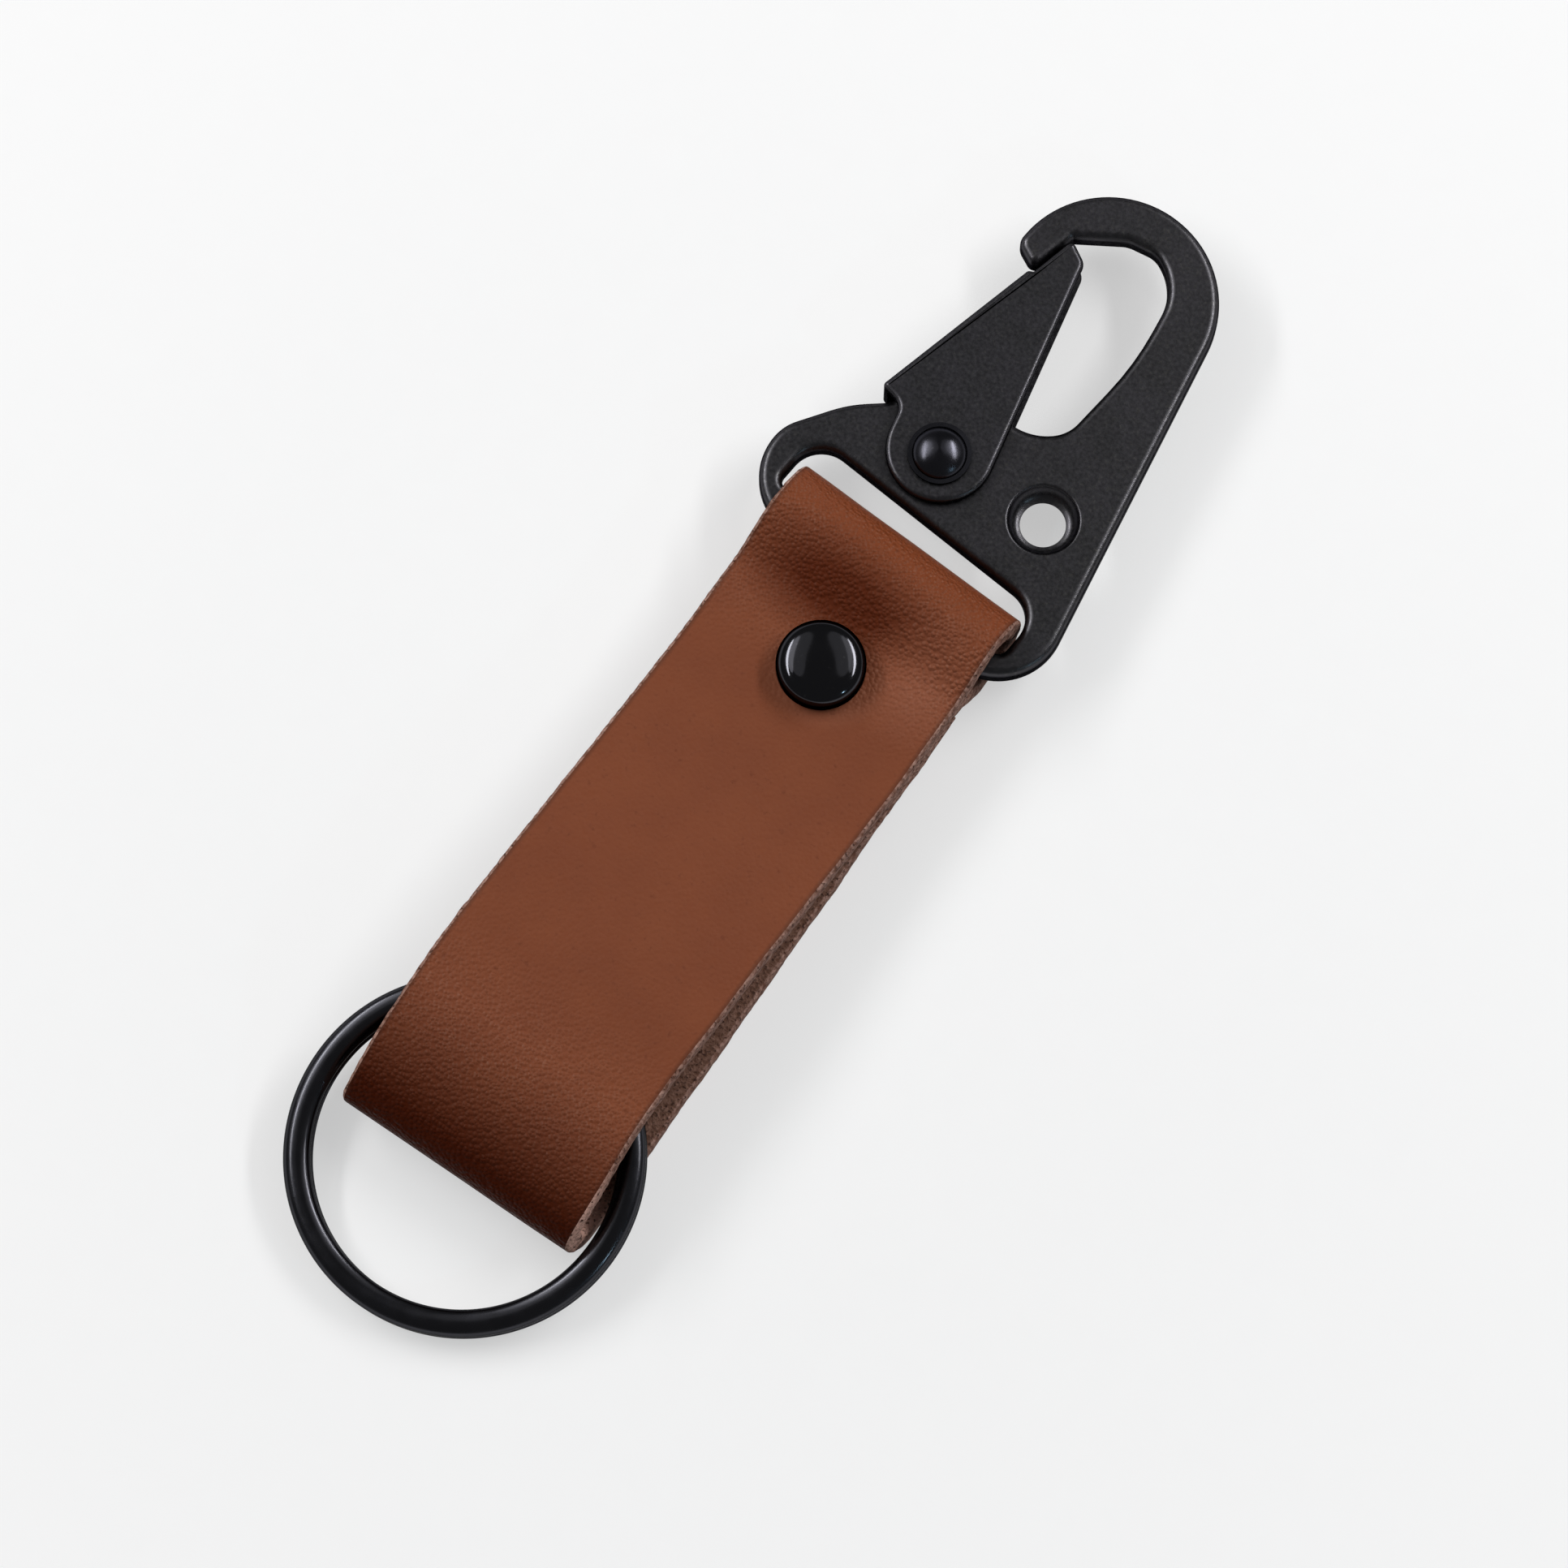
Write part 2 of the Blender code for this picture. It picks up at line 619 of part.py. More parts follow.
def gate_outline():
    """The gate's cheek from its notch up the spine, over the tip, down to the round eye and by the neck."""
    notch, step, ledge, tip = spine_line()
    inner = Vector((tip.x + GATE_TIP_WIDTH, tip.y - GATE_TIP_FALL))
    neck = Vector((GATE_NECK_X - PIVOT_X, notch.y - GATE_NECK_DROP))
    right = atan2(inner.y, inner.x) - acos(GATE_EYE_RADIUS / inner.length)
    left = (atan2(neck.y, neck.x) + acos(GATE_EYE_RADIUS / neck.length)) % (2 * pi) - 2 * pi
    eye = []
    for middle in (right * 3 / 4 + left / 4, right / 4 + left * 3 / 4):
        corner = polar(GATE_EYE_RADIUS / cos((right - left) / 4), middle)
        eye.append((corner.x, corner.y, GATE_EYE_RADIUS))
    corners = [
        (notch.x, notch.y, GATE_BEVEL),
        (step.x, step.y, GATE_BEVEL),
        (ledge.x, ledge.y, GATE_BEVEL),
        (tip.x, tip.y, GATE_TIP_OUTER_ROUND),
        (inner.x, inner.y, GATE_TIP_ROUND),
        *eye,
        (neck.x, neck.y, GATE_NECK_ROUND),
    ]
    return rounded(corners)


def make_gate(gate):
    body = prism("gate", gate_outline(), -CHEEK_FACE, CHEEK_FACE, gate, gate_black())
    notch, step, ledge, tip = spine_line()
    sheet = Vector((GATE_SHEET, 0))
    low = notch * 2 - step + sheet
    right_x = GATE_EYE_RADIUS + CUT_OVERRUN
    top_y = tip.y + CUT_OVERRUN
    hollow = [low, step + sheet, ledge + sheet, tip + sheet, Vector((tip.x + GATE_SHEET, top_y))]
    hollow += [Vector((right_x, top_y)), Vector((right_x, low.y))]
    room = PLATE / 2 + GATE_SIDE_GAP
    cut(body, prism("gate_hollow", hollow, -room, room, gate))
    bore = circle(0, 0, SHANK_RADIUS + PIN_GAP, HOLE_SIDES)
    cut(body, prism("gate_bore", bore, -CHEEK_FACE - CUT_OVERRUN, CHEEK_FACE + CUT_OVERRUN, gate))
    break_edges(body, GATE_BEVEL, GATE_BEVEL_STEPS)


def make_gate_rivet(clip):
    seat = CHEEK_FACE + PIN_GAP
    front = dome(FRONT_HEAD_RADIUS, FRONT_HEAD_HEIGHT, 0, HEAD_FULLNESS)
    rear = dome(REAR_HEAD_RADIUS, REAR_HEAD_HEIGHT, 0, HEAD_FULLNESS)
    profile = [(radius, -seat - HEAD_FLANGE - z) for radius, z in reversed(rear)]
    profile += [(HEAD_FLANGE_RADIUS, -seat - HEAD_FLANGE), (HEAD_FLANGE_RADIUS, -seat)]
    profile += [(SHANK_RADIUS, -seat), (SHANK_RADIUS, seat)]
    profile += [(HEAD_FLANGE_RADIUS, seat), (HEAD_FLANGE_RADIUS, seat + HEAD_FLANGE)]
    profile += [(radius, seat + HEAD_FLANGE + z) for radius, z in front]
    turned("gate_rivet", profile, (PIVOT_X, PIVOT_Y, 0), ROUND_SIDES, clip, rivet_black())


def spring_height(turns):
    """The wire's height after so many turns: it starts on the pocket's floor."""
    return POCKET_FLOOR - PLATE / 2 + SPRING_WIRE / 2 + LAYER_GAP + SPRING_PITCH * turns


def spring_ends():
    """The angle at which the leg leaves the coil, the leg's end behind the spine, the angle at which the
    coil starts, and the tail's end."""
    notch, step, ledge, tip = spine_line()
    share = (SPRING_LEG_RISE - notch.y) / (step.y - notch.y)
    behind_spine = notch.x + (step.x - notch.x) * share + GATE_SHEET + SEAT_GAP + SPRING_WIRE / 2
    end = Vector((behind_spine, SPRING_LEG_RISE))
    leave = atan2(end.y, end.x) - acos(SPRING_RADIUS / end.length)
    first = leave - 2 * pi * SPRING_TURNS
    tail = polar(SPRING_RADIUS, first) + polar(SPRING_TAIL, first - pi / 2)
    return leave, end, first, tail


def make_gate_spring(clip):
    """A small torsion spring round the shank, its tail in the pocket's notch and its leg behind the spine."""
    leave, end, first, tail = spring_ends()
    count = ceil(SPRING_SIDES_PER_TURN * SPRING_TURNS)
    coil = []
    for i in range(count + 1):
        turns = SPRING_TURNS * i / count
        coil.append((*polar(SPRING_RADIUS, first + 2 * pi * turns), spring_height(turns)))
    points = [(*tail, spring_height(0)), *coil, (*end, spring_height(SPRING_TURNS))]
    gap = coil_gap(points, SPRING_SIDES_PER_TURN, SPRING_WIRE)
    print("gate spring, least gap between turns in mm:", round(gap * 1000, 3))
    curve = bpy.data.curves.new("gate_spring", "CURVE")
    curve.dimensions = "3D"
    curve.bevel_depth = SPRING_WIRE / 2
    curve.bevel_resolution = 1
    curve.use_fill_caps = True
    curve.materials.append(spring_steel())
    line = curve.splines.new("POLY")
    line.points.add(len(points) - 1)
    for place, point in zip(line.points, points):
        place.co = (*point, 1)
    spring = bpy.data.objects.new("gate_spring", curve)
    bpy.context.scene.collection.objects.link(spring)
    spring.location = (PIVOT_X, PIVOT_Y, 0)
    spring.parent = clip


def coil_gap(points, per_turn, wire):
    """The least clear distance between points that lie half a turn or more apart along a coil."""
    places = np.array(points)
    apart = np.linalg.norm(places[:, None] - places[None, :], axis=2)
    index = np.arange(len(places))
    far = abs(index[:, None] - index[None, :]) > per_turn / 2
    return float(apart[far].min()) - wire


# Split ring
def ring_height(turn):
    """The wire's height along the coil: flat, then over the crossing, then flat again one turn higher."""
    climb = (RING_WIRE + RING_TURN_GAP) / 2
    share = (turn - 2 * pi) / RING_CROSSING + 0.5
    return -climb + 2 * climb * ease(share)


def make_ring(parent):
    start = RING_CROSSING / 2 + RING_END_SPACE
    stop = 4 * pi - RING_CROSSING / 2 - RING_END_SPACE
    count = ceil((stop - start) / RING_STEP)
    rim = rounded_box(RING_BAND / 2, RING_WIRE / 2, RING_WIRE_ROUND)
    sections = []
    for i in range(count + 1):
        turn = start + (stop - start) * i / count
        outward = Vector((cos(turn + pi / 2), sin(turn + pi / 2), 0))
        middle = outward * RING_MIDDLE_RADIUS + Vector((0, 0, ring_height(turn)))
        sections.append([middle + outward * side + Vector((0, 0, depth)) for side, depth in rim])
    places = [point for section in sections for point in section]
    gap = coil_gap(places, len(rim) * 2 * pi / RING_STEP, 0)
    print("split ring, least gap between turns in mm:", round(gap * 1000, 3))
    ring = loft("split_ring", sections, parent, ring_black())
    ring.location = (RING_X, RING_Y, RING_Z)
    ring.rotation_euler.x = RING_TILT


clear_scene()
fob = empty("fob", (0, DATUM_Y, 0), 0, None)
make_strap(fob)
make_strap_rivet(fob)
clip_hinge = empty("clip_hinge", (BAR_X, BAR_Y, FOLD_MIDDLE), CLIP_YAW, fob)
make_plate(clip_hinge)
make_gate_rivet(clip_hinge)
make_gate_spring(clip_hinge)
gate_hinge = empty("gate_hinge", (PIVOT_X, PIVOT_Y, 0), 0, clip_hinge)
make_gate(gate_hinge)
make_ring(fob)
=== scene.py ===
# Looks of the leather key fob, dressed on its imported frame. Lengths are in metres.
import json
from math import acos, atan2, ceil, cos, pi, radians, sin, tan

import bmesh
import bpy
from mathutils import Matrix, Vector, noise


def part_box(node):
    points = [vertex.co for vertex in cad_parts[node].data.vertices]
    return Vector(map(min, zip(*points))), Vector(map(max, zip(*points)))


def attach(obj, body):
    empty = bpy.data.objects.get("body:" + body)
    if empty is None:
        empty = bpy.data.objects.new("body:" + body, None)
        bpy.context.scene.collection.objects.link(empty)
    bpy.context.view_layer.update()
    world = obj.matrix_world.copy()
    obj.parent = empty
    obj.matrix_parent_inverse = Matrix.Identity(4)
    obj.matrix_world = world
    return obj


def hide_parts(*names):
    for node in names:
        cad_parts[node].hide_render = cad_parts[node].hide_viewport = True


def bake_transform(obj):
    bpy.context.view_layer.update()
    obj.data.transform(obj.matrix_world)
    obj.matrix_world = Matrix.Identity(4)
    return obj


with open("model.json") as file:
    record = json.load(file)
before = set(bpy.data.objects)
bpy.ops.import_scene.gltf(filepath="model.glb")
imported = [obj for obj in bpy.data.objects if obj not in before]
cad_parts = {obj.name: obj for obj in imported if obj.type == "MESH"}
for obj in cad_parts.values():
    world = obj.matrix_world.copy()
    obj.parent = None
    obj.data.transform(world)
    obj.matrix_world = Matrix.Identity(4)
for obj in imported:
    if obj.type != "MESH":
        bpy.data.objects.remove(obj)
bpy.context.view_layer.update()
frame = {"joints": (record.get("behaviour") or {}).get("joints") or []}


# Leather strap
# One strip of vegetable-tanned leather, grain side out, with its edges left raw as they were cut.
# It is folded round the clip's bar and round the split ring, and both skived ends meet at the rivet.
STRAP_WIDTH = 0.024
LEATHER = 0.002
SKIVED = 0.0012
SKIVED_TIP = 0.0009
SKIVE_TAPER = 0.0038
FOLD_HOLLOW = 0.0045
CLIP_FOLD_Y = 0.01445
RING_FOLD_Y = -0.05485
RIVET_FLAT = 0.0045
CLIP_RAMP_END = 0.0086
FACE_RAMP_START = 0.0037
FACE_RAMP_END = 0.0101
RING_RAMP_END = -0.036
BACK_RAMP_START = -0.0055
BACK_RAMP_END = -0.014
INNER_END_Y = -0.0064
OUTER_END_Y = 0.0042
LAYER_GAP = 0.00015
RIVET_SEAT = 0.0003
CLIP_FOLD_SLANT = radians(1.2)
CLIP_FOLD_SHIFT = -0.00033
RING_FOLD_SLANT = radians(1.9)
RING_FOLD_SHIFT = 0.001
RING_SHIFT_START = -0.0395
RING_FOLD_REACH = 0.0078
BACK_SKEW = radians(2)
BACK_CROSSING_Y = -0.012
BACK_CAP_HEIGHT = 0.0016
STRAP_STEP = 0.00045
STRAP_COLUMNS = 54
STRAP_CORNER = 0.0003
CORNER_STEPS = 4
EDGE_ROWS = 6
GRAIN_SIDE = 0
CUT_EDGE = 1
FLESH_SIDE = 2

cap_low, cap_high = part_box("rivet_front_cap")
rivet_y = (cap_low.y + cap_high.y) / 2
clip_tip_y = rivet_y + CLIP_FOLD_Y
ring_tip_y = rivet_y + RING_FOLD_Y
fold_height = FOLD_HOLLOW + 2 * LEATHER
bend_radius = (FOLD_HOLLOW + LEATHER) / 2
outer_end_z = BACK_CAP_HEIGHT + RIVET_SEAT + SKIVED / 2
inner_end_z = outer_end_z + SKIVED + LAYER_GAP
front_at_rivet_z = inner_end_z + SKIVED / 2 + LAYER_GAP + LEATHER / 2
front_z = fold_height - LEATHER / 2
back_z = LEATHER / 2


def ease(share):
    share = min(1, max(0, share))
    return share * share * (3 - 2 * share)


def progress(value, start, end):
    """How far a value has come from start to end, from 0 to 1, with soft ends."""
    return ease((value - start) / (end - start))


def strap_leg(start, end, steps=24):
    """Stations (y, z, thickness) along a layer that eases from one height to another."""
    leg = []
    for i in range(1, steps + 1):
        share = i / steps
        rise = ease(share)
        y = start[0] + (end[0] - start[0]) * share
        leg.append((y, *(a + (b - a) * rise for a, b in zip(start[1:], end[1:]))))
    return leg


def strap_fold(tip_y, start_angle, face_reach, back_reach, steps=40):
    """Half a turn of leather whose face bends over a longer reach than its back."""
    side = 1 if start_angle < 0 else -1
    fold = []
    for i in range(steps + 1):
        angle = start_angle + pi * i / steps
        reach = face_reach if sin(angle) > 0 else back_reach
        y = tip_y - side * (LEATHER / 2 + reach * (1 - abs(cos(angle))))
        fold.append((y, fold_height / 2 + bend_radius * sin(angle), LEATHER))
    return fold


def strap_route():
    """The strip's middle line from its inner end, round both folds, to its outer end on the back."""
    inner_tip = (INNER_END_Y, inner_end_z, SKIVED_TIP)
    inner = (INNER_END_Y + SKIVE_TAPER, inner_end_z, SKIVED)
    route = [inner_tip] + strap_leg(inner_tip, inner) + [(RIVET_FLAT, inner_end_z, SKIVED)]
    route += strap_leg(route[-1], (CLIP_RAMP_END, back_z, LEATHER))
    route += strap_fold(CLIP_FOLD_Y, -pi / 2, bend_radius, bend_radius)
    route += [(FACE_RAMP_END, front_z, LEATHER)]
    route += strap_leg(route[-1], (FACE_RAMP_START, front_at_rivet_z, LEATHER))
    route += [(-RIVET_FLAT, front_at_rivet_z, LEATHER)]
    route += strap_leg(route[-1], (RING_RAMP_END, front_z, LEATHER), steps=60)
    route += strap_fold(RING_FOLD_Y, pi / 2, RING_FOLD_REACH, bend_radius)
    route += [(BACK_RAMP_END, back_z, LEATHER)]
    route += strap_leg(route[-1], (BACK_RAMP_START, outer_end_z, SKIVED))
    route += strap_leg(route[-1], (OUTER_END_Y, outer_end_z, SKIVED_TIP))
    return [Vector(station) for station in route]


def even_stations(route, step):
    """The same line in even steps."""
    even = [route[0]]
    left = step
    for here, there in zip(route, route[1:]):
        length = (there.xy - here.xy).length
        place = left
        while place <= length:
            even.append(here.lerp(there, place / length))
            place += step
        left = place - length
    return even + [route[-1]]


def strap_shift(y, height_share):
    """How far the strip has wandered sideways: its back lies askew behind its face."""
    at_clip = progress(y, -RIVET_FLAT, CLIP_RAMP_END) * CLIP_FOLD_SHIFT
    face = at_clip + progress(y, RING_SHIFT_START, RING_FOLD_Y) * RING_FOLD_SHIFT
    back = at_clip + max(0, BACK_CROSSING_Y - y) * tan(BACK_SKEW)
    return back + (face - back) * height_share


def strap_slant(y):
    """How far the strip turns out of square with its length, as it nears either fold."""
    at_clip = progress(y, RIVET_FLAT, CLIP_FOLD_Y) * tan(CLIP_FOLD_SLANT)
    at_ring = progress(y, RING_RAMP_END, RING_FOLD_Y) * tan(RING_FOLD_SLANT)
    return at_ring - at_clip


def strap_section(thick):
    """(side, depth, zone) round the strip's section: grain side, right edge, flesh side, left edge."""
    w = STRAP_WIDTH / 2
    h = thick / 2
    r = STRAP_CORNER
    points = []
    for i in range(STRAP_COLUMNS + 1):
        points.append(((w - r) * (2 * i / STRAP_COLUMNS - 1), -h, GRAIN_SIDE))
    for side in (1, -1):
        edge = []
        for i in range(1, CORNER_STEPS + 1):
            a = pi / 2 * i / CORNER_STEPS
            edge.append((w - r + r * sin(a), -h + r - r * cos(a), CUT_EDGE))
        for i in range(1, EDGE_ROWS):
            edge.append((w, (h - r) * (2 * i / EDGE_ROWS - 1), CUT_EDGE))
        for i in range(CORNER_STEPS):
            a = pi / 2 * i / CORNER_STEPS
            edge.append((w - r + r * cos(a), h - r + r * sin(a), CUT_EDGE))
        if side == 1:
            points += edge
            for i in range(STRAP_COLUMNS + 1):
                points.append(((w - r) * (1 - 2 * i / STRAP_COLUMNS), h, FLESH_SIDE))
        else:
            points += [(-x, depth, zone) for x, depth, zone in reversed(edge)]
    return points


EDGE_WAVE = 0.00009
EDGE_WAVE_LENGTH = 0.006
EDGES_APART = 3
EDGE_FIBRE = 0.00007
EDGE_FIBRE_SIZE = 0.0005
EDGE_DRAWN_IN = 0.45
FLESH_NAP = 0.00005
FLESH_NAP_SIZE = 0.0006
GRAIN_SWELL = 0.00005
GRAIN_SWELL_SIZE = 0.007


def strap_loops():
    """The strip's section at each station, with its wavy, fibrous edges and uneven faces."""
    stations = even_stations(strap_route(), STRAP_STEP)
    loops = []
    for i, (y, z, thick) in enumerate(stations):
        ahead = stations[min(i + 1, len(stations) - 1)]
        behind = stations[max(i - 1, 0)]
        along = Vector((0, ahead.x - behind.x, ahead.y - behind.y)).normalized()
        across = Vector((0, -along.z, along.y))
        shift = strap_shift(y, progress(z, back_z, front_at_rivet_z))
        slant = strap_slant(y)
        loop = []
        for side, depth, zone in strap_section(thick):
            point = Vector((side + shift, y + side * slant, z)) + across * depth
            edge_share = progress(abs(side), STRAP_WIDTH / 2 - STRAP_CORNER, STRAP_WIDTH / 2)
            outward = 1 if side > 0 else -1
            wave_place = Vector((outward * EDGES_APART, i * STRAP_STEP / EDGE_WAVE_LENGTH, 0))
            wave = EDGE_WAVE * (noise.noise(wave_place) - EDGE_DRAWN_IN)
            fibre = EDGE_FIBRE * (noise.noise(point / EDGE_FIBRE_SIZE) - EDGE_DRAWN_IN) * edge_share
            point.x += outward * (wave * abs(side) / (STRAP_WIDTH / 2) + fibre)
            if zone == FLESH_SIDE:
                point += across * FLESH_NAP * noise.noise(point / FLESH_NAP_SIZE)
            if zone == GRAIN_SIDE:
                point -= across * GRAIN_SWELL * noise.noise(point / GRAIN_SWELL_SIZE)
            loop.append((point.x, point.y + rivet_y, point.z))
        loops.append(loop)
    return loops


def tube(name, loops):
    """A closed mesh through loops of equal counts of points: its sides in order, then its two ends."""
    count = len(loops[0])
    last = (len(loops) - 1) * count
    faces = []
    for start in range(0, last, count):
        for j in range(count):
            k = (j + 1) % count
            faces.append((start + j, start + k, start + count + k, start + count + j))
    faces.append(tuple(range(count)))
    faces.append(tuple(range(last, last + count)))
    mesh = bpy.data.meshes.new(name)
    mesh.from_pydata([point for loop in loops for point in loop], [], faces)
    shape = bmesh.new()
    shape.from_mesh(mesh)
    bmesh.ops.recalc_face_normals(shape, faces=shape.faces)
    shape.to_mesh(mesh)
    shape.free()
    mesh.shade_smooth()
    return mesh


def strap_mesh():
    """The strip as a tube that knows, at each point, how far it lies off the middle."""
    loops = strap_loops()
    sides, depths, zones = zip(*strap_section(LEATHER))
    looks = [zone if zone == after else CUT_EDGE for zone, after in zip(zones, zones[1:] + zones[:1])]
    mesh = tube("leather_strip", loops)
    mesh.attributes.new("side", "FLOAT", "POINT").data.foreach_set("value", sides * len(loops))
    mesh.polygons.foreach_set("material_index", looks * (len(loops) - 1) + [CUT_EDGE, CUT_EDGE])
    return mesh


def in_scene(name, data):
    """A new object of a mesh, a lamp or a camera, in the scene."""
    made = bpy.data.objects.new(name, data)
    bpy.context.scene.collection.objects.link(made)
    return made


def shader_node(tree, kind, inputs=(), **settings):
    """A shader node with its settings; each input is a value or another node's output."""
    made = tree.nodes.new(kind)
    for name, value in settings.items():
        setattr(made, name, value)
    for name, value in dict(inputs).items():
        if isinstance(value, bpy.types.NodeSocket):
            tree.links.new(value, made.inputs[name])
        else:
            made.inputs[name].default_value = value
    return made


def finish(name, roughness, metallic=0.0):
    """A new finish, its tree, its shader and its coordinates on the piece."""
    look = bpy.data.materials.new(name)
    look.use_nodes = True
    tree = look.node_tree
    shader = tree.nodes["Principled BSDF"]
    shader.inputs["Roughness"].default_value = roughness
    shader.inputs["Metallic"].default_value = metallic
    place = tree.nodes.new("ShaderNodeTexCoord").outputs["Object"]
    return look, tree, shader, place


def grain_of(tree, place, size, detail=3.0):
    """A noise whose lumps are about as large as size."""
    return shader_node(
        tree, "ShaderNodeTexNoise", {"Vector": place, "Scale": 1 / size, "Detail": detail}
    ).outputs["Fac"]


def between(tree, value, low, high, to_low=0.0, to_high=1.0):
    """A value's place between two others, as a share."""
    return shader_node(
        tree,
        "ShaderNodeMapRange",
        {"Value": value, "From Min": low, "From Max": high, "To Min": to_low, "To Max": to_high},
    ).outputs["Result"]


def combine(tree, kind, first, second):
    """The output of a sum, product or other kind of math on two values or outputs."""
    return shader_node(tree, "ShaderNodeMath", {0: first, 1: second}, operation=kind).outputs["Value"]


MIX_COLOUR_INPUTS = (6, 7)
MIX_COLOUR_OUTPUT = 2
CALM_RANGE = (0.35, 0.65)
FULL_RANGE = (0.3, 0.7)


def blend_colours(tree, share, first, second):
    """From the first colour to the second by a share; either may be a colour or an output."""
    inputs = {"Factor": share}
    for place, value in zip(MIX_COLOUR_INPUTS, (first, second)):
        inputs[place] = (*value, 1) if isinstance(value, tuple) else value
    return shader_node(tree, "ShaderNodeMix", inputs, data_type="RGBA").outputs[MIX_COLOUR_OUTPUT]


def raise_surface(tree, shader, height, depth, below=None):
    """Bump of a real depth from a height of 0 to 1."""
    made = shader_node(tree, "ShaderNodeBump", {"Height": height, "Distance": depth})
    made.inputs["Strength"].default_value = 1.0
    if below:
        tree.links.new(below, made.inputs["Normal"])
    tree.links.new(made.outputs["Normal"], shader.inputs["Normal"])
    return made.outputs["Normal"]


GRAIN_BROWN = (0.185, 0.048, 0.0195)
GRAIN_ORANGE = (0.2, 0.053, 0.021)
GRAIN_CLIP_FOLD = (0.185, 0.042, 0.012)
# Painted shade in the dip between the rivet and the clip fold; the same dark colour also marks the grain's
# real pits.
GRAIN_PAINTED_SHADE_AND_PIT = (0.075, 0.011, 0.0025)
# Painted shade: the colour of the leather at the ring fold's end, where it turns away from the lamps.
GRAIN_RING_FOLD_SHADE = (0.05, 0.007, 0.0015)
# Painted light: a paler colour below the front cap, against the cap's shadow, and to the right of the
# rivet, in place of a sheen.
GRAIN_PAINTED_LIGHT = (0.25, 0.077, 0.038)
# Painted shade: a dark line along both edges of the grain side, where it rounds over into the cut edge.
GRAIN_EDGE_SHADE = (0.05, 0.014, 0.008)
GRAIN_SHEEN = (1.0, 0.8, 0.65, 1)
PEBBLE_SIZE = 0.00038
PEBBLE_DEPTH = 0.00013
EDGE_SHADE_FROM = 0.0113
EDGE_SHADE_TO = 0.0118
EDGE_SHADE_SHARE = 0.8
GRAIN_CLOUD_SIZE = 0.006
GRAIN_SPECK_SIZE = 0.0006
GRAIN_PIT_RANGE = (0.62, 0.75)
GRAIN_PIT_SHARE = 0.35
GRAIN_UNEVEN_SIZE = 0.0012
GRAIN_UNEVEN_DEPTH = 0.00001
CLIP_TONE_START = 0.006
CLIP_TONE_FULL = 0.003
RING_SHADE_START = 0.0122
RING_SHADE_FULL = 0.0017
VALLEY_SHADE_CENTRE = (-0.0025, 0.0062)
VALLEY_SHADE_REACH = (0.0125, 0.0056)
VALLEY_SHADE_SHARE = 0.85
CAP_LIGHT_CENTRE = (0.0006, 0)
CAP_LIGHT_REACH = (0.0058, 0.0055)
CAP_LIGHT_START = 0.002
CAP_LIGHT_FULL = 0.0015
SIDE_LIGHT_CENTRE = (0.0078, 0.0035)
SIDE_LIGHT_REACH = (0.006, 0.006)
SIDE_LIGHT_SHARE = 0.8
WORKED_BY_RIVET = 0.006
WORKED_RING_START = 0.022
WORKED_RING_FULL = 0.008
WORKED_LEAST = 0.22
GRAIN_ROUGHNESS = (0.42, 0.58)
GRAIN_SHINE = (0.3, 0.06)


def vector_math(tree, kind, inputs, output):
    return shader_node(tree, "ShaderNodeVectorMath", inputs, operation=kind).outputs[output]


def patch(tree, place, centre, reach):
    """How far a point lies from a centre by the rivet, in shares of a reach across and along."""
    spot = (centre[0], rivet_y + centre[1], 0)
    scale = (1 / reach[0], 1 / reach[1], 0)
    moved = vector_math(tree, "SUBTRACT", {0: place, 1: spot}, "Vector")
    scaled = vector_math(tree, "MULTIPLY", {0: moved, 1: scale}, "Vector")
    return vector_math(tree, "LENGTH", {0: scaled}, "Value")


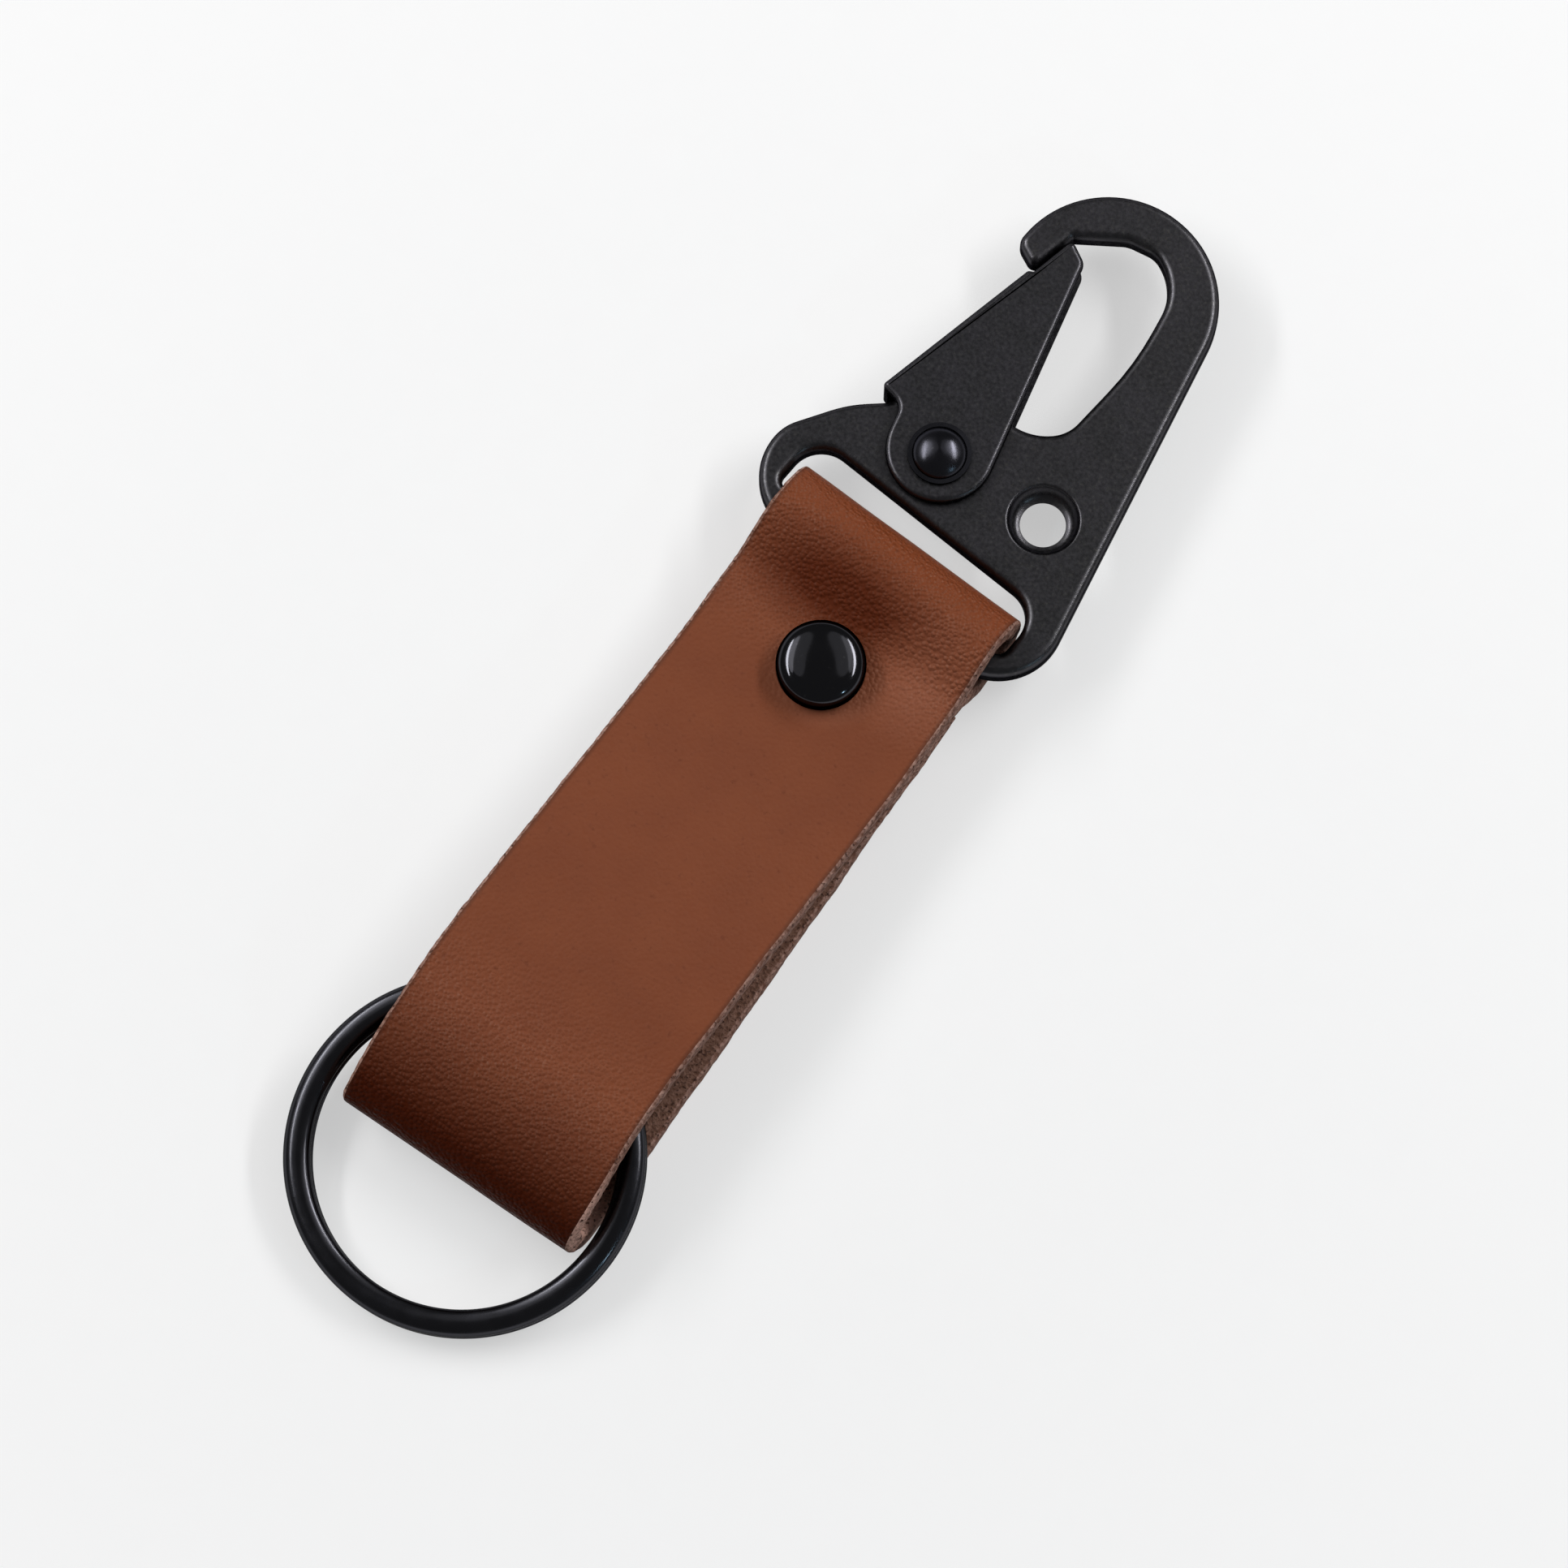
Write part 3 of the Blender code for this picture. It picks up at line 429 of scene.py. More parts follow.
def grain_look():
    """Oiled brown leather of a varying tone, deeper near the clip fold and pitted, with painted shade at
    the ring fold, in the dip by the rivet and along the grain's rounded edges, and painted light below the
    cap and right of the rivet.
    """
    look, tree, shader, place = finish("leather_grain", 0.5)
    along = shader_node(tree, "ShaderNodeSeparateXYZ", {"Vector": place}).outputs["Y"]
    cloud = grain_of(tree, place, GRAIN_CLOUD_SIZE)
    speck = grain_of(tree, place, GRAIN_SPECK_SIZE, detail=4.0)
    colour = blend_colours(tree, between(tree, cloud, *CALM_RANGE), GRAIN_BROWN, GRAIN_ORANGE)
    near_clip = between(tree, along, clip_tip_y - CLIP_TONE_START, clip_tip_y - CLIP_TONE_FULL)
    colour = blend_colours(tree, near_clip, colour, GRAIN_CLIP_FOLD)
    # Painted shade: the dip between the rivet and the clip fold is coloured darker, where its slope turns
    # from the light.
    valley_shade = patch(tree, place, VALLEY_SHADE_CENTRE, VALLEY_SHADE_REACH)
    valley_shade = between(tree, valley_shade, 1.0, 0.3, 0.0, VALLEY_SHADE_SHARE)
    colour = blend_colours(tree, valley_shade, colour, GRAIN_PAINTED_SHADE_AND_PIT)
    # Painted shade: darker colour towards the ring fold's end, where the leather turns from the light.
    near_ring = between(tree, along, ring_tip_y + RING_SHADE_START, ring_tip_y + RING_SHADE_FULL)
    colour = blend_colours(tree, near_ring, colour, GRAIN_RING_FOLD_SHADE)
    # Painted light below the front cap, where it lifts the cap's shadow on the leather.
    cap_light = between(tree, patch(tree, place, CAP_LIGHT_CENTRE, CAP_LIGHT_REACH), 1.0, 0.7)
    below_cap = between(tree, along, rivet_y + CAP_LIGHT_START, rivet_y - CAP_LIGHT_FULL)
    colour = blend_colours(tree, combine(tree, "MULTIPLY", cap_light, below_cap), colour, GRAIN_PAINTED_LIGHT)
    # Painted light to the right of the rivet, standing in for a sheen.
    side_light = patch(tree, place, SIDE_LIGHT_CENTRE, SIDE_LIGHT_REACH)
    side_light = between(tree, side_light, 1.0, 0.2, 0.0, SIDE_LIGHT_SHARE)
    colour = blend_colours(tree, side_light, colour, GRAIN_PAINTED_LIGHT)
    # Painted shade along both edges of the grain side, as a dark line where it rounds over.
    side = shader_node(tree, "ShaderNodeAttribute", attribute_name="side").outputs["Fac"]
    off_middle = combine(tree, "ABSOLUTE", side, 0.0)
    edge_shade = between(tree, off_middle, EDGE_SHADE_FROM, EDGE_SHADE_TO, 0.0, EDGE_SHADE_SHARE)
    colour = blend_colours(tree, edge_shade, colour, GRAIN_EDGE_SHADE)
    # Real pits of the grain, in the same dark colour as the painted shade.
    pitted = between(tree, speck, *GRAIN_PIT_RANGE, 0.0, GRAIN_PIT_SHARE)
    colour = blend_colours(tree, pitted, colour, GRAIN_PAINTED_SHADE_AND_PIT)
    tree.links.new(colour, shader.inputs["Base Color"])
    pebble = shader_node(
        tree, "ShaderNodeTexVoronoi", {"Vector": place, "Scale": 1 / PEBBLE_SIZE, "Randomness": 1.0}
    ).outputs["Distance"]
    worked_clip = between(tree, along, rivet_y - WORKED_BY_RIVET, rivet_y + WORKED_BY_RIVET)
    worked_ring = between(tree, along, ring_tip_y + WORKED_RING_START, ring_tip_y + WORKED_RING_FULL)
    worked = combine(tree, "MAXIMUM", worked_clip, worked_ring)
    worked = combine(tree, "MAXIMUM", worked, WORKED_LEAST)
    height = combine(tree, "MULTIPLY", between(tree, pebble, 0.0, 0.8, 1.0, 0.0), worked)
    uneven = raise_surface(tree, shader, grain_of(tree, place, GRAIN_UNEVEN_SIZE), GRAIN_UNEVEN_DEPTH)
    raise_surface(tree, shader, height, PEBBLE_DEPTH, uneven)
    tree.links.new(between(tree, speck, *FULL_RANGE, *GRAIN_ROUGHNESS), shader.inputs["Roughness"])
    shine = between(tree, combine(tree, "MAXIMUM", near_ring, valley_shade), 0.0, 1.0, *GRAIN_SHINE)
    tree.links.new(shine, shader.inputs["Specular IOR Level"])
    shader.inputs["Specular Tint"].default_value = GRAIN_SHEEN
    return look


RAW_PALE = (0.42, 0.25, 0.2)
RAW_BROWN = (0.17, 0.075, 0.05)
RAW_DARK = (0.05, 0.022, 0.015)
# Painted light on the cut edge and flesh side at the ring fold's right, where they lie in shade.
RAW_RING_FOLD_LIGHT = (0.62, 0.37, 0.3)
FLESH_PALE = (0.27, 0.145, 0.105)
FLESH_BROWN = (0.15, 0.07, 0.045)
FELT_SIZE = 0.0005
FELT_DEPTH = 0.00025
PORE_SIZE = 0.00028
PORE_DEPTH = 0.00012
PORE_RANGE = (0.54, 0.7)
FOLD_LIGHT_START = 0.008
FOLD_LIGHT_FULL = 0.004
FOLD_LIGHT_SHARE = 0.8
FOLD_LIGHT_SIDE = 0.002


def raw_look(name, pale, brown):
    """Cut or split leather: a felt of fibres with open pores, with painted light at the ring fold's right.
    """
    look, tree, shader, place = finish(name, 0.85)
    felt = grain_of(tree, place, FELT_SIZE, detail=5.0)
    pore = grain_of(tree, place, PORE_SIZE, detail=2.0)
    colour = blend_colours(tree, between(tree, felt, *CALM_RANGE), brown, pale)
    parts = shader_node(tree, "ShaderNodeSeparateXYZ", {"Vector": place}).outputs
    # Painted light: a paler colour at the ring fold's right, over leather that lies in shade.
    fold_start = ring_tip_y + FOLD_LIGHT_START
    near_ring = between(tree, parts["Y"], fold_start, ring_tip_y + FOLD_LIGHT_FULL, 0.0, FOLD_LIGHT_SHARE)
    right = between(tree, parts["X"], -FOLD_LIGHT_SIDE, FOLD_LIGHT_SIDE)
    colour = blend_colours(tree, combine(tree, "MULTIPLY", near_ring, right), colour, RAW_RING_FOLD_LIGHT)
    colour = blend_colours(tree, between(tree, pore, *PORE_RANGE), colour, RAW_DARK)
    tree.links.new(colour, shader.inputs["Base Color"])
    shader.inputs["Specular IOR Level"].default_value = 0.15
    low = raise_surface(tree, shader, felt, FELT_DEPTH)
    raise_surface(tree, shader, pore, PORE_DEPTH, low)
    return look


strap = in_scene("strap_leather", strap_mesh())
strap.data.materials.append(grain_look())
strap.data.materials.append(raw_look("leather_cut_edge", RAW_PALE, RAW_BROWN))
strap.data.materials.append(raw_look("leather_flesh_side", FLESH_PALE, FLESH_BROWN))
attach(strap, "strap")
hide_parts("leather_strap")


# Strap rivet
# A two-part cap rivet of pressed steel, plated glossy black. The back cap's post goes through the strap's
# three layers and is set into the front cap, whose rim presses a little into the grain.
CAP_RIM = 0.0005
CAP_FULLNESS = 2.6
POST_RADIUS = 0.0013
POST_IN_CAP = 0.0011
PIN_GAP = 0.0002
ROUND_SIDES = 128
DOME_STEPS = 28
SAME_PLACE = 1e-7

cap_radius = (cap_high.x - cap_low.x) / 2
back_low, back_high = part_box("rivet_back_cap")


def dome(radius, height, rim, fullness):
    """The (radius, z) profile of a pressed cap: an ellipse at a fullness of 2, and flatter above it."""
    profile = [(radius, 0), (radius, rim)]
    for i in range(1, DOME_STEPS):
        a = pi / 2 * i / DOME_STEPS
        rise = (height - rim) * sin(a) ** (2 / fullness)
        profile.append((radius * cos(a) ** (2 / fullness), rim + rise))
    return profile + [(0, height)]


def quarter_round(radius, height, rim):
    """The (radius, z) profile of a flat cap with a rounded edge."""
    profile = [(radius, 0), (radius, rim)]
    rise = height - rim
    for i in range(1, DOME_STEPS + 1):
        a = pi / 2 * i / DOME_STEPS
        profile.append((radius - rise * (1 - cos(a)), rim + rise * sin(a)))
    return profile


def turned(name, profile, centre, look):
    """A profile from axis to axis, spun about the vertical through centre, as one smooth mesh."""
    shape = bmesh.new()
    points = [shape.verts.new((centre[0] + radius, centre[1], centre[2] + z)) for radius, z in profile]
    line = points + [shape.edges.new(pair) for pair in zip(points, points[1:])]
    bmesh.ops.spin(shape, geom=line, cent=centre, axis=(0, 0, 1), angle=2 * pi, steps=ROUND_SIDES)
    bmesh.ops.remove_doubles(shape, verts=shape.verts, dist=SAME_PLACE)
    bmesh.ops.recalc_face_normals(shape, faces=shape.faces)
    mesh = bpy.data.meshes.new(name)
    shape.to_mesh(mesh)
    shape.free()
    mesh.shade_smooth()
    mesh.set_sharp_from_angle(angle=radians(38))
    mesh.materials.append(look)
    return in_scene(name, mesh)


DARK_AT_EDGE = (0.1, 0.1, 0.11, 1)
PLATING_DUST = (0.07, 0.07, 0.075)
PLATING_CLOUD_SIZE = 0.002
PLATING_CLOUD_DEPTH = 0.000004
PLATING_MARK_SIZE = 0.0003
PLATING_MARK_RANGE = (0.66, 0.8)


def gloss_black(name, colour, roughness, dust=PLATING_DUST):
    """Black plating: a dark mirror with faint clouding and fine rubbed marks."""
    look, tree, shader, place = finish(name, roughness, 1.0)
    cloud = grain_of(tree, place, PLATING_CLOUD_SIZE, detail=4.0)
    dull = between(tree, cloud, *FULL_RANGE, roughness * 0.8, roughness * 1.3)
    tree.links.new(dull, shader.inputs["Roughness"])
    mark = grain_of(tree, place, PLATING_MARK_SIZE, detail=2.0)
    marked = blend_colours(tree, between(tree, mark, *PLATING_MARK_RANGE), colour, dust)
    tree.links.new(marked, shader.inputs["Base Color"])
    raise_surface(tree, shader, cloud, PLATING_CLOUD_DEPTH)
    shader.inputs["Specular Tint"].default_value = DARK_AT_EDGE
    return look


rivet_gloss = gloss_black("rivet_plating", (0.042, 0.042, 0.047), 0.1)
hole = POST_RADIUS + PIN_GAP
hole_top = POST_IN_CAP + RIVET_SEAT
front_profile = [(0, hole_top), (hole, hole_top), (hole, 0)]
front_profile += dome(cap_radius, cap_high.z - cap_low.z, CAP_RIM, CAP_FULLNESS)
front_cap = turned("rivet_face_cap", front_profile, (0, rivet_y, cap_low.z), rivet_gloss)
back_side = reversed(quarter_round(cap_radius, BACK_CAP_HEIGHT, CAP_RIM))
back_profile = [(0, 0)] + [(radius, BACK_CAP_HEIGHT - z) for radius, z in back_side]
back_profile += [(POST_RADIUS, BACK_CAP_HEIGHT), (POST_RADIUS, back_high.z), (0, back_high.z)]
back_cap = turned("rivet_post_cap", back_profile, (0, rivet_y, 0), rivet_gloss)
for cap, replaced in ((front_cap, "rivet_front_cap"), (back_cap, "rivet_back_cap")):
    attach(cap, "strap")
    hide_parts(replaced)


# Clip plate
# A flat zinc casting in a satin black coating. The hook, the strap slot and the eyelet are one piece.
# The strap's fold holds it by its bar, and it swings on that.
CLIP_YAW = radians(-3.4)
PLATE = 0.0026
PLATE_EDGE = 0.0008
EDGE_STEPS = 6
BAR_WIDTH = 0.0028
SLOT_HALF = 0.0127
SLOT_TOP = 0.0069
SLOT_LOW_ROUND = 0.001
SLOT_HIGH_ROUND = 0.003
FRAME_HALF = 0.01568
LOBE_ROUND = 0.006
SHOULDER_Y = 0.0058
SHOULDER_ROUND = 0.0045
SWELL_CORNER = (-0.0125, 0.011, 0.012)
HEEL_X = -0.0096
HEEL_Y = 0.01365
HOOK_TOP = 0.04325
HOOK_CENTRE_X = -0.0009
HOOK_ROUND = 0.01005
HOOK_BAND = 0.00465
BACK_LEAN = radians(13.1)
ARCH_LEFT = -0.0065
THROAT_LEFT = -0.00925
THROAT_FLOOR = 0.01857
THROAT_LEFT_ROUND = 0.005
THROAT_CURVE = (
    (0.00184, 0.01887, 0.0053),
    (0.00428, 0.02129, 0.0035),
    (0.0047, 0.03015, 0.0286),
    (0.00311, 0.03812, 0.0078),
    (-0.00033, 0.0394, 0.0033),
    (-0.00294, 0.03881, 0.0026),
)
NOTCH_CORNER = (-0.00695, 0.03585, 0.0003)
NOSE_X = -0.0078
NOSE_Y = 0.03125
NOSE_OUTER_X = -0.01055
NOSE_FACE_DROP = 0.00115
NOSE_ROUND = 0.00085
NOSE_OUTER_ROUND = 0.0013
HEEL_ROUND = 0.00085
EYELET_X = 0.00772
EYELET_Y = 0.0136
EYELET_HOLE = 0.00205
EYELET_RIM = 0.0034
EYELET_SINK = 0.0009
EYELET_DEPTH = 0.0016
EYELET_EDGE = 0.00025
EYELET_BOWL_STEPS = 6
EYELET_BOWL_FULLNESS = 1.3
EYELET_LIP_STEPS = 5
PIVOT_X = -0.003
PIVOT_Y = 0.01215
SHANK_RADIUS = 0.0013
ARC_STEP = radians(4)
LEAST_STEP = 1e-6
SHARPEST_MITER = 0.3

swing = next(joint for joint in frame["joints"] if joint["name"] == "clip_swing")
on_clip = Matrix.Translation(swing["pos_m"]) @ Matrix.Rotation(CLIP_YAW, 4, "Z")


def turn_corner(before, corner, after, radius):
    """Points along the arc that rounds a corner."""
    back = (before - corner).normalized()
    ahead = (after - corner).normalized()
    half = back.angle(ahead) / 2
    centre = corner + (back + ahead).normalized() * (radius / sin(half))
    start = corner + back * (radius / tan(half)) - centre
    turn = (pi - 2 * half) * (1 if back.cross(ahead) < 0 else -1)
    count = max(1, ceil(abs(turn) / ARC_STEP))
    return [centre + Matrix.Rotation(turn * i / count, 2) @ start for i in range(count + 1)]


def rounded(corners):
    """A closed outline of corners (x, y, radius), each rounded by as much as its sides have room for."""
    points = [Vector((x, y)) for x, y, radius in corners]
    count = len(points)
    reaches = []
    for i, (x, y, radius) in enumerate(corners):
        opening = (points[i - 1] - points[i]).angle(points[(i + 1) % count] - points[i])
        reaches.append(radius / tan(opening / 2))
    outline = []
    for i, (x, y, radius) in enumerate(corners):
        j = (i + 1) % count
        behind = (points[i] - points[i - 1]).length / (reaches[i - 1] + reaches[i])
        ahead = (points[j] - points[i]).length / (reaches[i] + reaches[j])
        outline += turn_corner(points[i - 1], points[i], points[j], radius * min(1, behind, ahead))
    return [point for i, point in enumerate(outline) if (point - outline[i - 1]).length > LEAST_STEP]


def circle(x, y, radius, sides=96):
    turns = [2 * pi * i / sides for i in range(sides)]
    return [Vector((x + radius * cos(a), y + radius * sin(a))) for a in turns]


def drawn_in(outline, depth):
    """A closed outline with every side moved inwards by depth, or outwards by a negative one."""
    area = sum(a.cross(b) for a, b in zip(outline, outline[1:] + outline[:1]))
    turn = 1 if area > 0 else -1
    inner = []
    for i, point in enumerate(outline):
        before = (point - outline[i - 1]).normalized()
        after = (outline[(i + 1) % len(outline)] - point).normalized()
        middle = (before + after).normalized()
        miter = depth / max(SHARPEST_MITER, middle.dot(before))
        inner.append(point + Vector((-middle.y, middle.x)) * turn * miter)
    return inner


def slab(name, outline, levels):
    """A closed body through one outline drawn in by as much as each level (inset, height) says."""
    shape = bmesh.new()
    loops = []
    for inset, height in levels:
        loops.append([shape.verts.new((point.x, point.y, height)) for point in drawn_in(outline, inset)])
    for low, high in zip(loops, loops[1:]):
        for i in range(len(outline)):
            shape.faces.new((low[i - 1], low[i], high[i], high[i - 1]))
    shape.faces.new(loops[0])
    shape.faces.new(loops[-1])
    bmesh.ops.recalc_face_normals(shape, faces=shape.faces)
    mesh = bpy.data.meshes.new(name)
    shape.to_mesh(mesh)
    shape.free()
    return in_scene(name, mesh)


def prism(name, outline, low, high):
    return slab(name, outline, [(0, low), (0, high)])


def edge_levels(half, edge):
    """Levels from the lower to the upper face of a plate, both edges rounded."""
    turns = [pi / 2 * i / EDGE_STEPS for i in range(EDGE_STEPS + 1)]
    arc = [(edge * (1 - cos(a)), half - edge * (1 - sin(a))) for a in turns]
    return [(inset, -height) for inset, height in reversed(arc)] + arc


def flared_levels(half, edge, through):
    """Levels of a cutter whose hole keeps a rounded edge at both faces."""
    levels = [(-inset, height) for inset, height in edge_levels(half, edge)]
    return [(-edge, -through)] + levels + [(-edge, through)]


def cut_out(body, cutter):
    modifier = body.modifiers.new("cut", "BOOLEAN")
    modifier.operation = "DIFFERENCE"
    modifier.solver = "EXACT"
    modifier.object = cutter


def settle(body, cutters, place):
    """Cuts a body, keeps its flat faces flat to the light, puts it in place and removes its cutters."""
    for cutter in cutters:
        cut_out(body, cutter)
    body.data.shade_smooth()
    flats = body.modifiers.new("flat_faces", "WEIGHTED_NORMAL")
    flats.keep_sharp = True
    bpy.context.view_layer.update()
    made = bpy.data.meshes.new_from_object(body.evaluated_get(bpy.context.evaluated_depsgraph_get()))
    body.modifiers.clear()
    body.data = made
    made.transform(place)
    for cutter in cutters:
        bpy.data.objects.remove(cutter)


def plate_outline():
    """From the nose, round the outside of the hook, the back, both lobes, the heel and the throat."""
    low = -BAR_WIDTH / 2
    hook_centre_y = HOOK_TOP - HOOK_ROUND
    back_low_x = HOOK_CENTRE_X + HOOK_ROUND / cos(BACK_LEAN) + (hook_centre_y - low) * tan(BACK_LEAN)
    back_top_x = HOOK_CENTRE_X + HOOK_ROUND * tan(pi / 4 - BACK_LEAN / 2)
    return rounded(
        [
            (NOSE_X, NOSE_Y, NOSE_ROUND),
            (NOSE_OUTER_X, NOSE_Y + NOSE_FACE_DROP, NOSE_OUTER_ROUND),
            (NOSE_OUTER_X, HOOK_TOP, HOOK_CENTRE_X - NOSE_OUTER_X),
            (back_top_x, HOOK_TOP, HOOK_ROUND),
            (back_low_x, low, LOBE_ROUND),
            (-FRAME_HALF, low, LOBE_ROUND),
            (-FRAME_HALF, SHOULDER_Y, SHOULDER_ROUND),
            SWELL_CORNER,
            (HEEL_X, HEEL_Y, HEEL_ROUND),
            (THROAT_LEFT, THROAT_FLOOR, THROAT_LEFT_ROUND),
            *THROAT_CURVE,
            NOTCH_CORNER,
        ]
    )


def clip_plate():
    """The casting with its strap slot, its eyelet, sunk from both faces, and the gate rivet's bore."""
    half = PLATE / 2
    through = PLATE
    plate = slab("clip_casting", plate_outline(), edge_levels(half, PLATE_EDGE))
    slot = rounded(
        [
            (-SLOT_HALF, BAR_WIDTH / 2, SLOT_LOW_ROUND),
            (SLOT_HALF, BAR_WIDTH / 2, SLOT_LOW_ROUND),
            (SLOT_HALF, SLOT_TOP, SLOT_HIGH_ROUND),
            (-SLOT_HALF, SLOT_TOP, SLOT_HIGH_ROUND),
        ]
    )
    cutters = [slab("slot_cutter", slot, flared_levels(half, PLATE_EDGE, through))]
    eyelet_side = [(0, -through), (EYELET_RIM, -through), (EYELET_RIM, -half)]
    eyelet_side.append((EYELET_HOLE, -half + EYELET_SINK))
    for i in range(EYELET_BOWL_STEPS + 1):
        a = pi / 2 * i / EYELET_BOWL_STEPS
        wall = EYELET_HOLE + (EYELET_RIM - EYELET_EDGE - EYELET_HOLE) * sin(a)
        sunk = (EYELET_DEPTH - EYELET_EDGE) * cos(a) ** EYELET_BOWL_FULLNESS
        eyelet_side.append((wall, half - EYELET_EDGE - sunk))
    for i in range(1, EYELET_LIP_STEPS + 1):
        a = pi / 2 * i / EYELET_LIP_STEPS
        eyelet_side.append((EYELET_RIM - EYELET_EDGE * cos(a), half - EYELET_EDGE * (1 - sin(a))))
    eyelet_side += [(EYELET_RIM, through), (0, through)]
    cutters.append(turned("eyelet_cutter", eyelet_side, (EYELET_X, EYELET_Y, 0), None))
    bore = circle(PIVOT_X, PIVOT_Y, SHANK_RADIUS + PIN_GAP)
    cutters.append(prism("bore_cutter", bore, -through, through))
    settle(plate, cutters, on_clip)
    return plate


SATIN_CLOUD_SIZE = 0.0035
SATIN_PEEL_SIZE = 0.00035
SATIN_PEEL_DEPTH = 0.000009
SATIN_SPECK_SIZE = 0.0003
SATIN_SPECK_RANGE = (0.55, 0.72)
SATIN_SPECK_SHARE = 0.5
SATIN_SPECK_COLOUR = (0.1, 0.097, 0.092)


def satin_black(name, colour, cast, roughness):
    """A satin coating on metal: a fine orange peel, a faint violet cast in clouds and fine pale specks."""
    look, tree, shader, place = finish(name, roughness, 1.0)
    cloud = grain_of(tree, place, SATIN_CLOUD_SIZE, detail=3.0)
    peel = grain_of(tree, place, SATIN_PEEL_SIZE, detail=2.0)
    speck = grain_of(tree, place, SATIN_SPECK_SIZE, detail=3.0)
    colours = blend_colours(tree, between(tree, cloud, *CALM_RANGE), colour, cast)
    specks = between(tree, speck, *SATIN_SPECK_RANGE, 0.0, SATIN_SPECK_SHARE)
    colours = blend_colours(tree, specks, colours, SATIN_SPECK_COLOUR)
    tree.links.new(colours, shader.inputs["Base Color"])
    dull = between(tree, peel, *FULL_RANGE, roughness - 0.06, roughness + 0.08)
    tree.links.new(dull, shader.inputs["Roughness"])
    raise_surface(tree, shader, peel, SATIN_PEEL_DEPTH)
    shader.inputs["Specular Tint"].default_value = DARK_AT_EDGE
    return look


plate = clip_plate()
plate_coating = satin_black("clip_coating", (0.058, 0.057, 0.061), (0.066, 0.064, 0.071), 0.34)
plate.data.materials.append(plate_coating)
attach(plate, "clip")
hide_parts("clip_plate")


# Gate
# One piece of thin steel folded to a U over the plate: two cheeks and the spine that closes the hook.
# Its rivet goes through both cheeks, and its tip shuts behind the hook's nose.
GATE_SHEET = 0.00075
GATE_SIDE_GAP = 0.0003
GATE_EYE_RADIUS = 0.0049
GATE_EYE_CENTRE = (-0.00027, 0.0005)
GATE_NOTCH_X = -0.0111
GATE_NOTCH_Y = 0.014
GATE_NECK_X = -0.0086
GATE_NECK_DROP = 0.0004
GATE_NECK_ROUND = 0.0014
GATE_TIP_GAP = 0.0004
GATE_SHOULDER_DROP = 0.00065
GATE_LEDGE_RISE = 0.00025
GATE_TIP_Y = 0.0354
GATE_TIP_WIDTH = 0.00225
GATE_TIP_FALL = 0.0011
GATE_TIP_ROUND = 0.0011
GATE_TIP_OUTER_ROUND = 0.0005
GATE_CORNER = 0.0004
GATE_LEDGE_ROUND = 0.00006
GATE_EDGE = 0.0005

cheek_face = PLATE / 2 + GATE_SIDE_GAP + GATE_SHEET
on_pivot = on_clip @ Matrix.Translation((PIVOT_X, PIVOT_Y, 0))


def polar(radius, angle):
    return Vector((radius * cos(angle), radius * sin(angle)))


def nose_face_x(y):
    """The nose's inner face at height y, from the pivot."""
    arch_top = HOOK_TOP - HOOK_BAND - PIVOT_Y
    nose_y = NOSE_Y - PIVOT_Y
    return NOSE_X - PIVOT_X + (ARCH_LEFT - NOSE_X) * (y - nose_y) / (arch_top - nose_y)


def spine_line():
    """The gate's outer side: from its notch to the step under the nose, in by the ledge, up to its tip."""
    step_y = NOSE_Y - PIVOT_Y - GATE_SHOULDER_DROP
    ledge_y = step_y + GATE_LEDGE_RISE
    tip_y = GATE_TIP_Y - PIVOT_Y
    notch = Vector((GATE_NOTCH_X - PIVOT_X, GATE_NOTCH_Y - PIVOT_Y))
    step = Vector((nose_face_x(step_y), step_y))
    ledge = Vector((nose_face_x(ledge_y) + GATE_TIP_GAP, ledge_y))
    return notch, step, ledge, Vector((nose_face_x(tip_y) + GATE_TIP_GAP, tip_y))


def gate_outline():
    """The cheek from its notch up the spine, over the tip, down to the round eye and by the neck."""
    notch, step, ledge, tip = spine_line()
    inner = Vector((tip.x + GATE_TIP_WIDTH, tip.y - GATE_TIP_FALL))
    neck = Vector((GATE_NECK_X - PIVOT_X, notch.y - GATE_NECK_DROP))
    centre = Vector(GATE_EYE_CENTRE)
    to_tip = inner - centre
    to_neck = neck - centre
    right = atan2(to_tip.y, to_tip.x) - acos(GATE_EYE_RADIUS / to_tip.length)
    left = (atan2(to_neck.y, to_neck.x) + acos(GATE_EYE_RADIUS / to_neck.length)) % (2 * pi) - 2 * pi
    eye = []
    for middle in (right * 3 / 4 + left / 4, right / 4 + left * 3 / 4):
        corner = centre + polar(GATE_EYE_RADIUS / cos((right - left) / 4), middle)
        eye.append((corner.x, corner.y, GATE_EYE_RADIUS))
    corners = [
        (notch.x, notch.y, GATE_CORNER),
        (step.x, step.y, GATE_CORNER),
        (ledge.x, ledge.y, GATE_LEDGE_ROUND),
        (tip.x, tip.y, GATE_TIP_OUTER_ROUND),
        (inner.x, inner.y, GATE_TIP_ROUND),
        *eye,
        (neck.x, neck.y, GATE_NECK_ROUND),
    ]
    return rounded(corners)


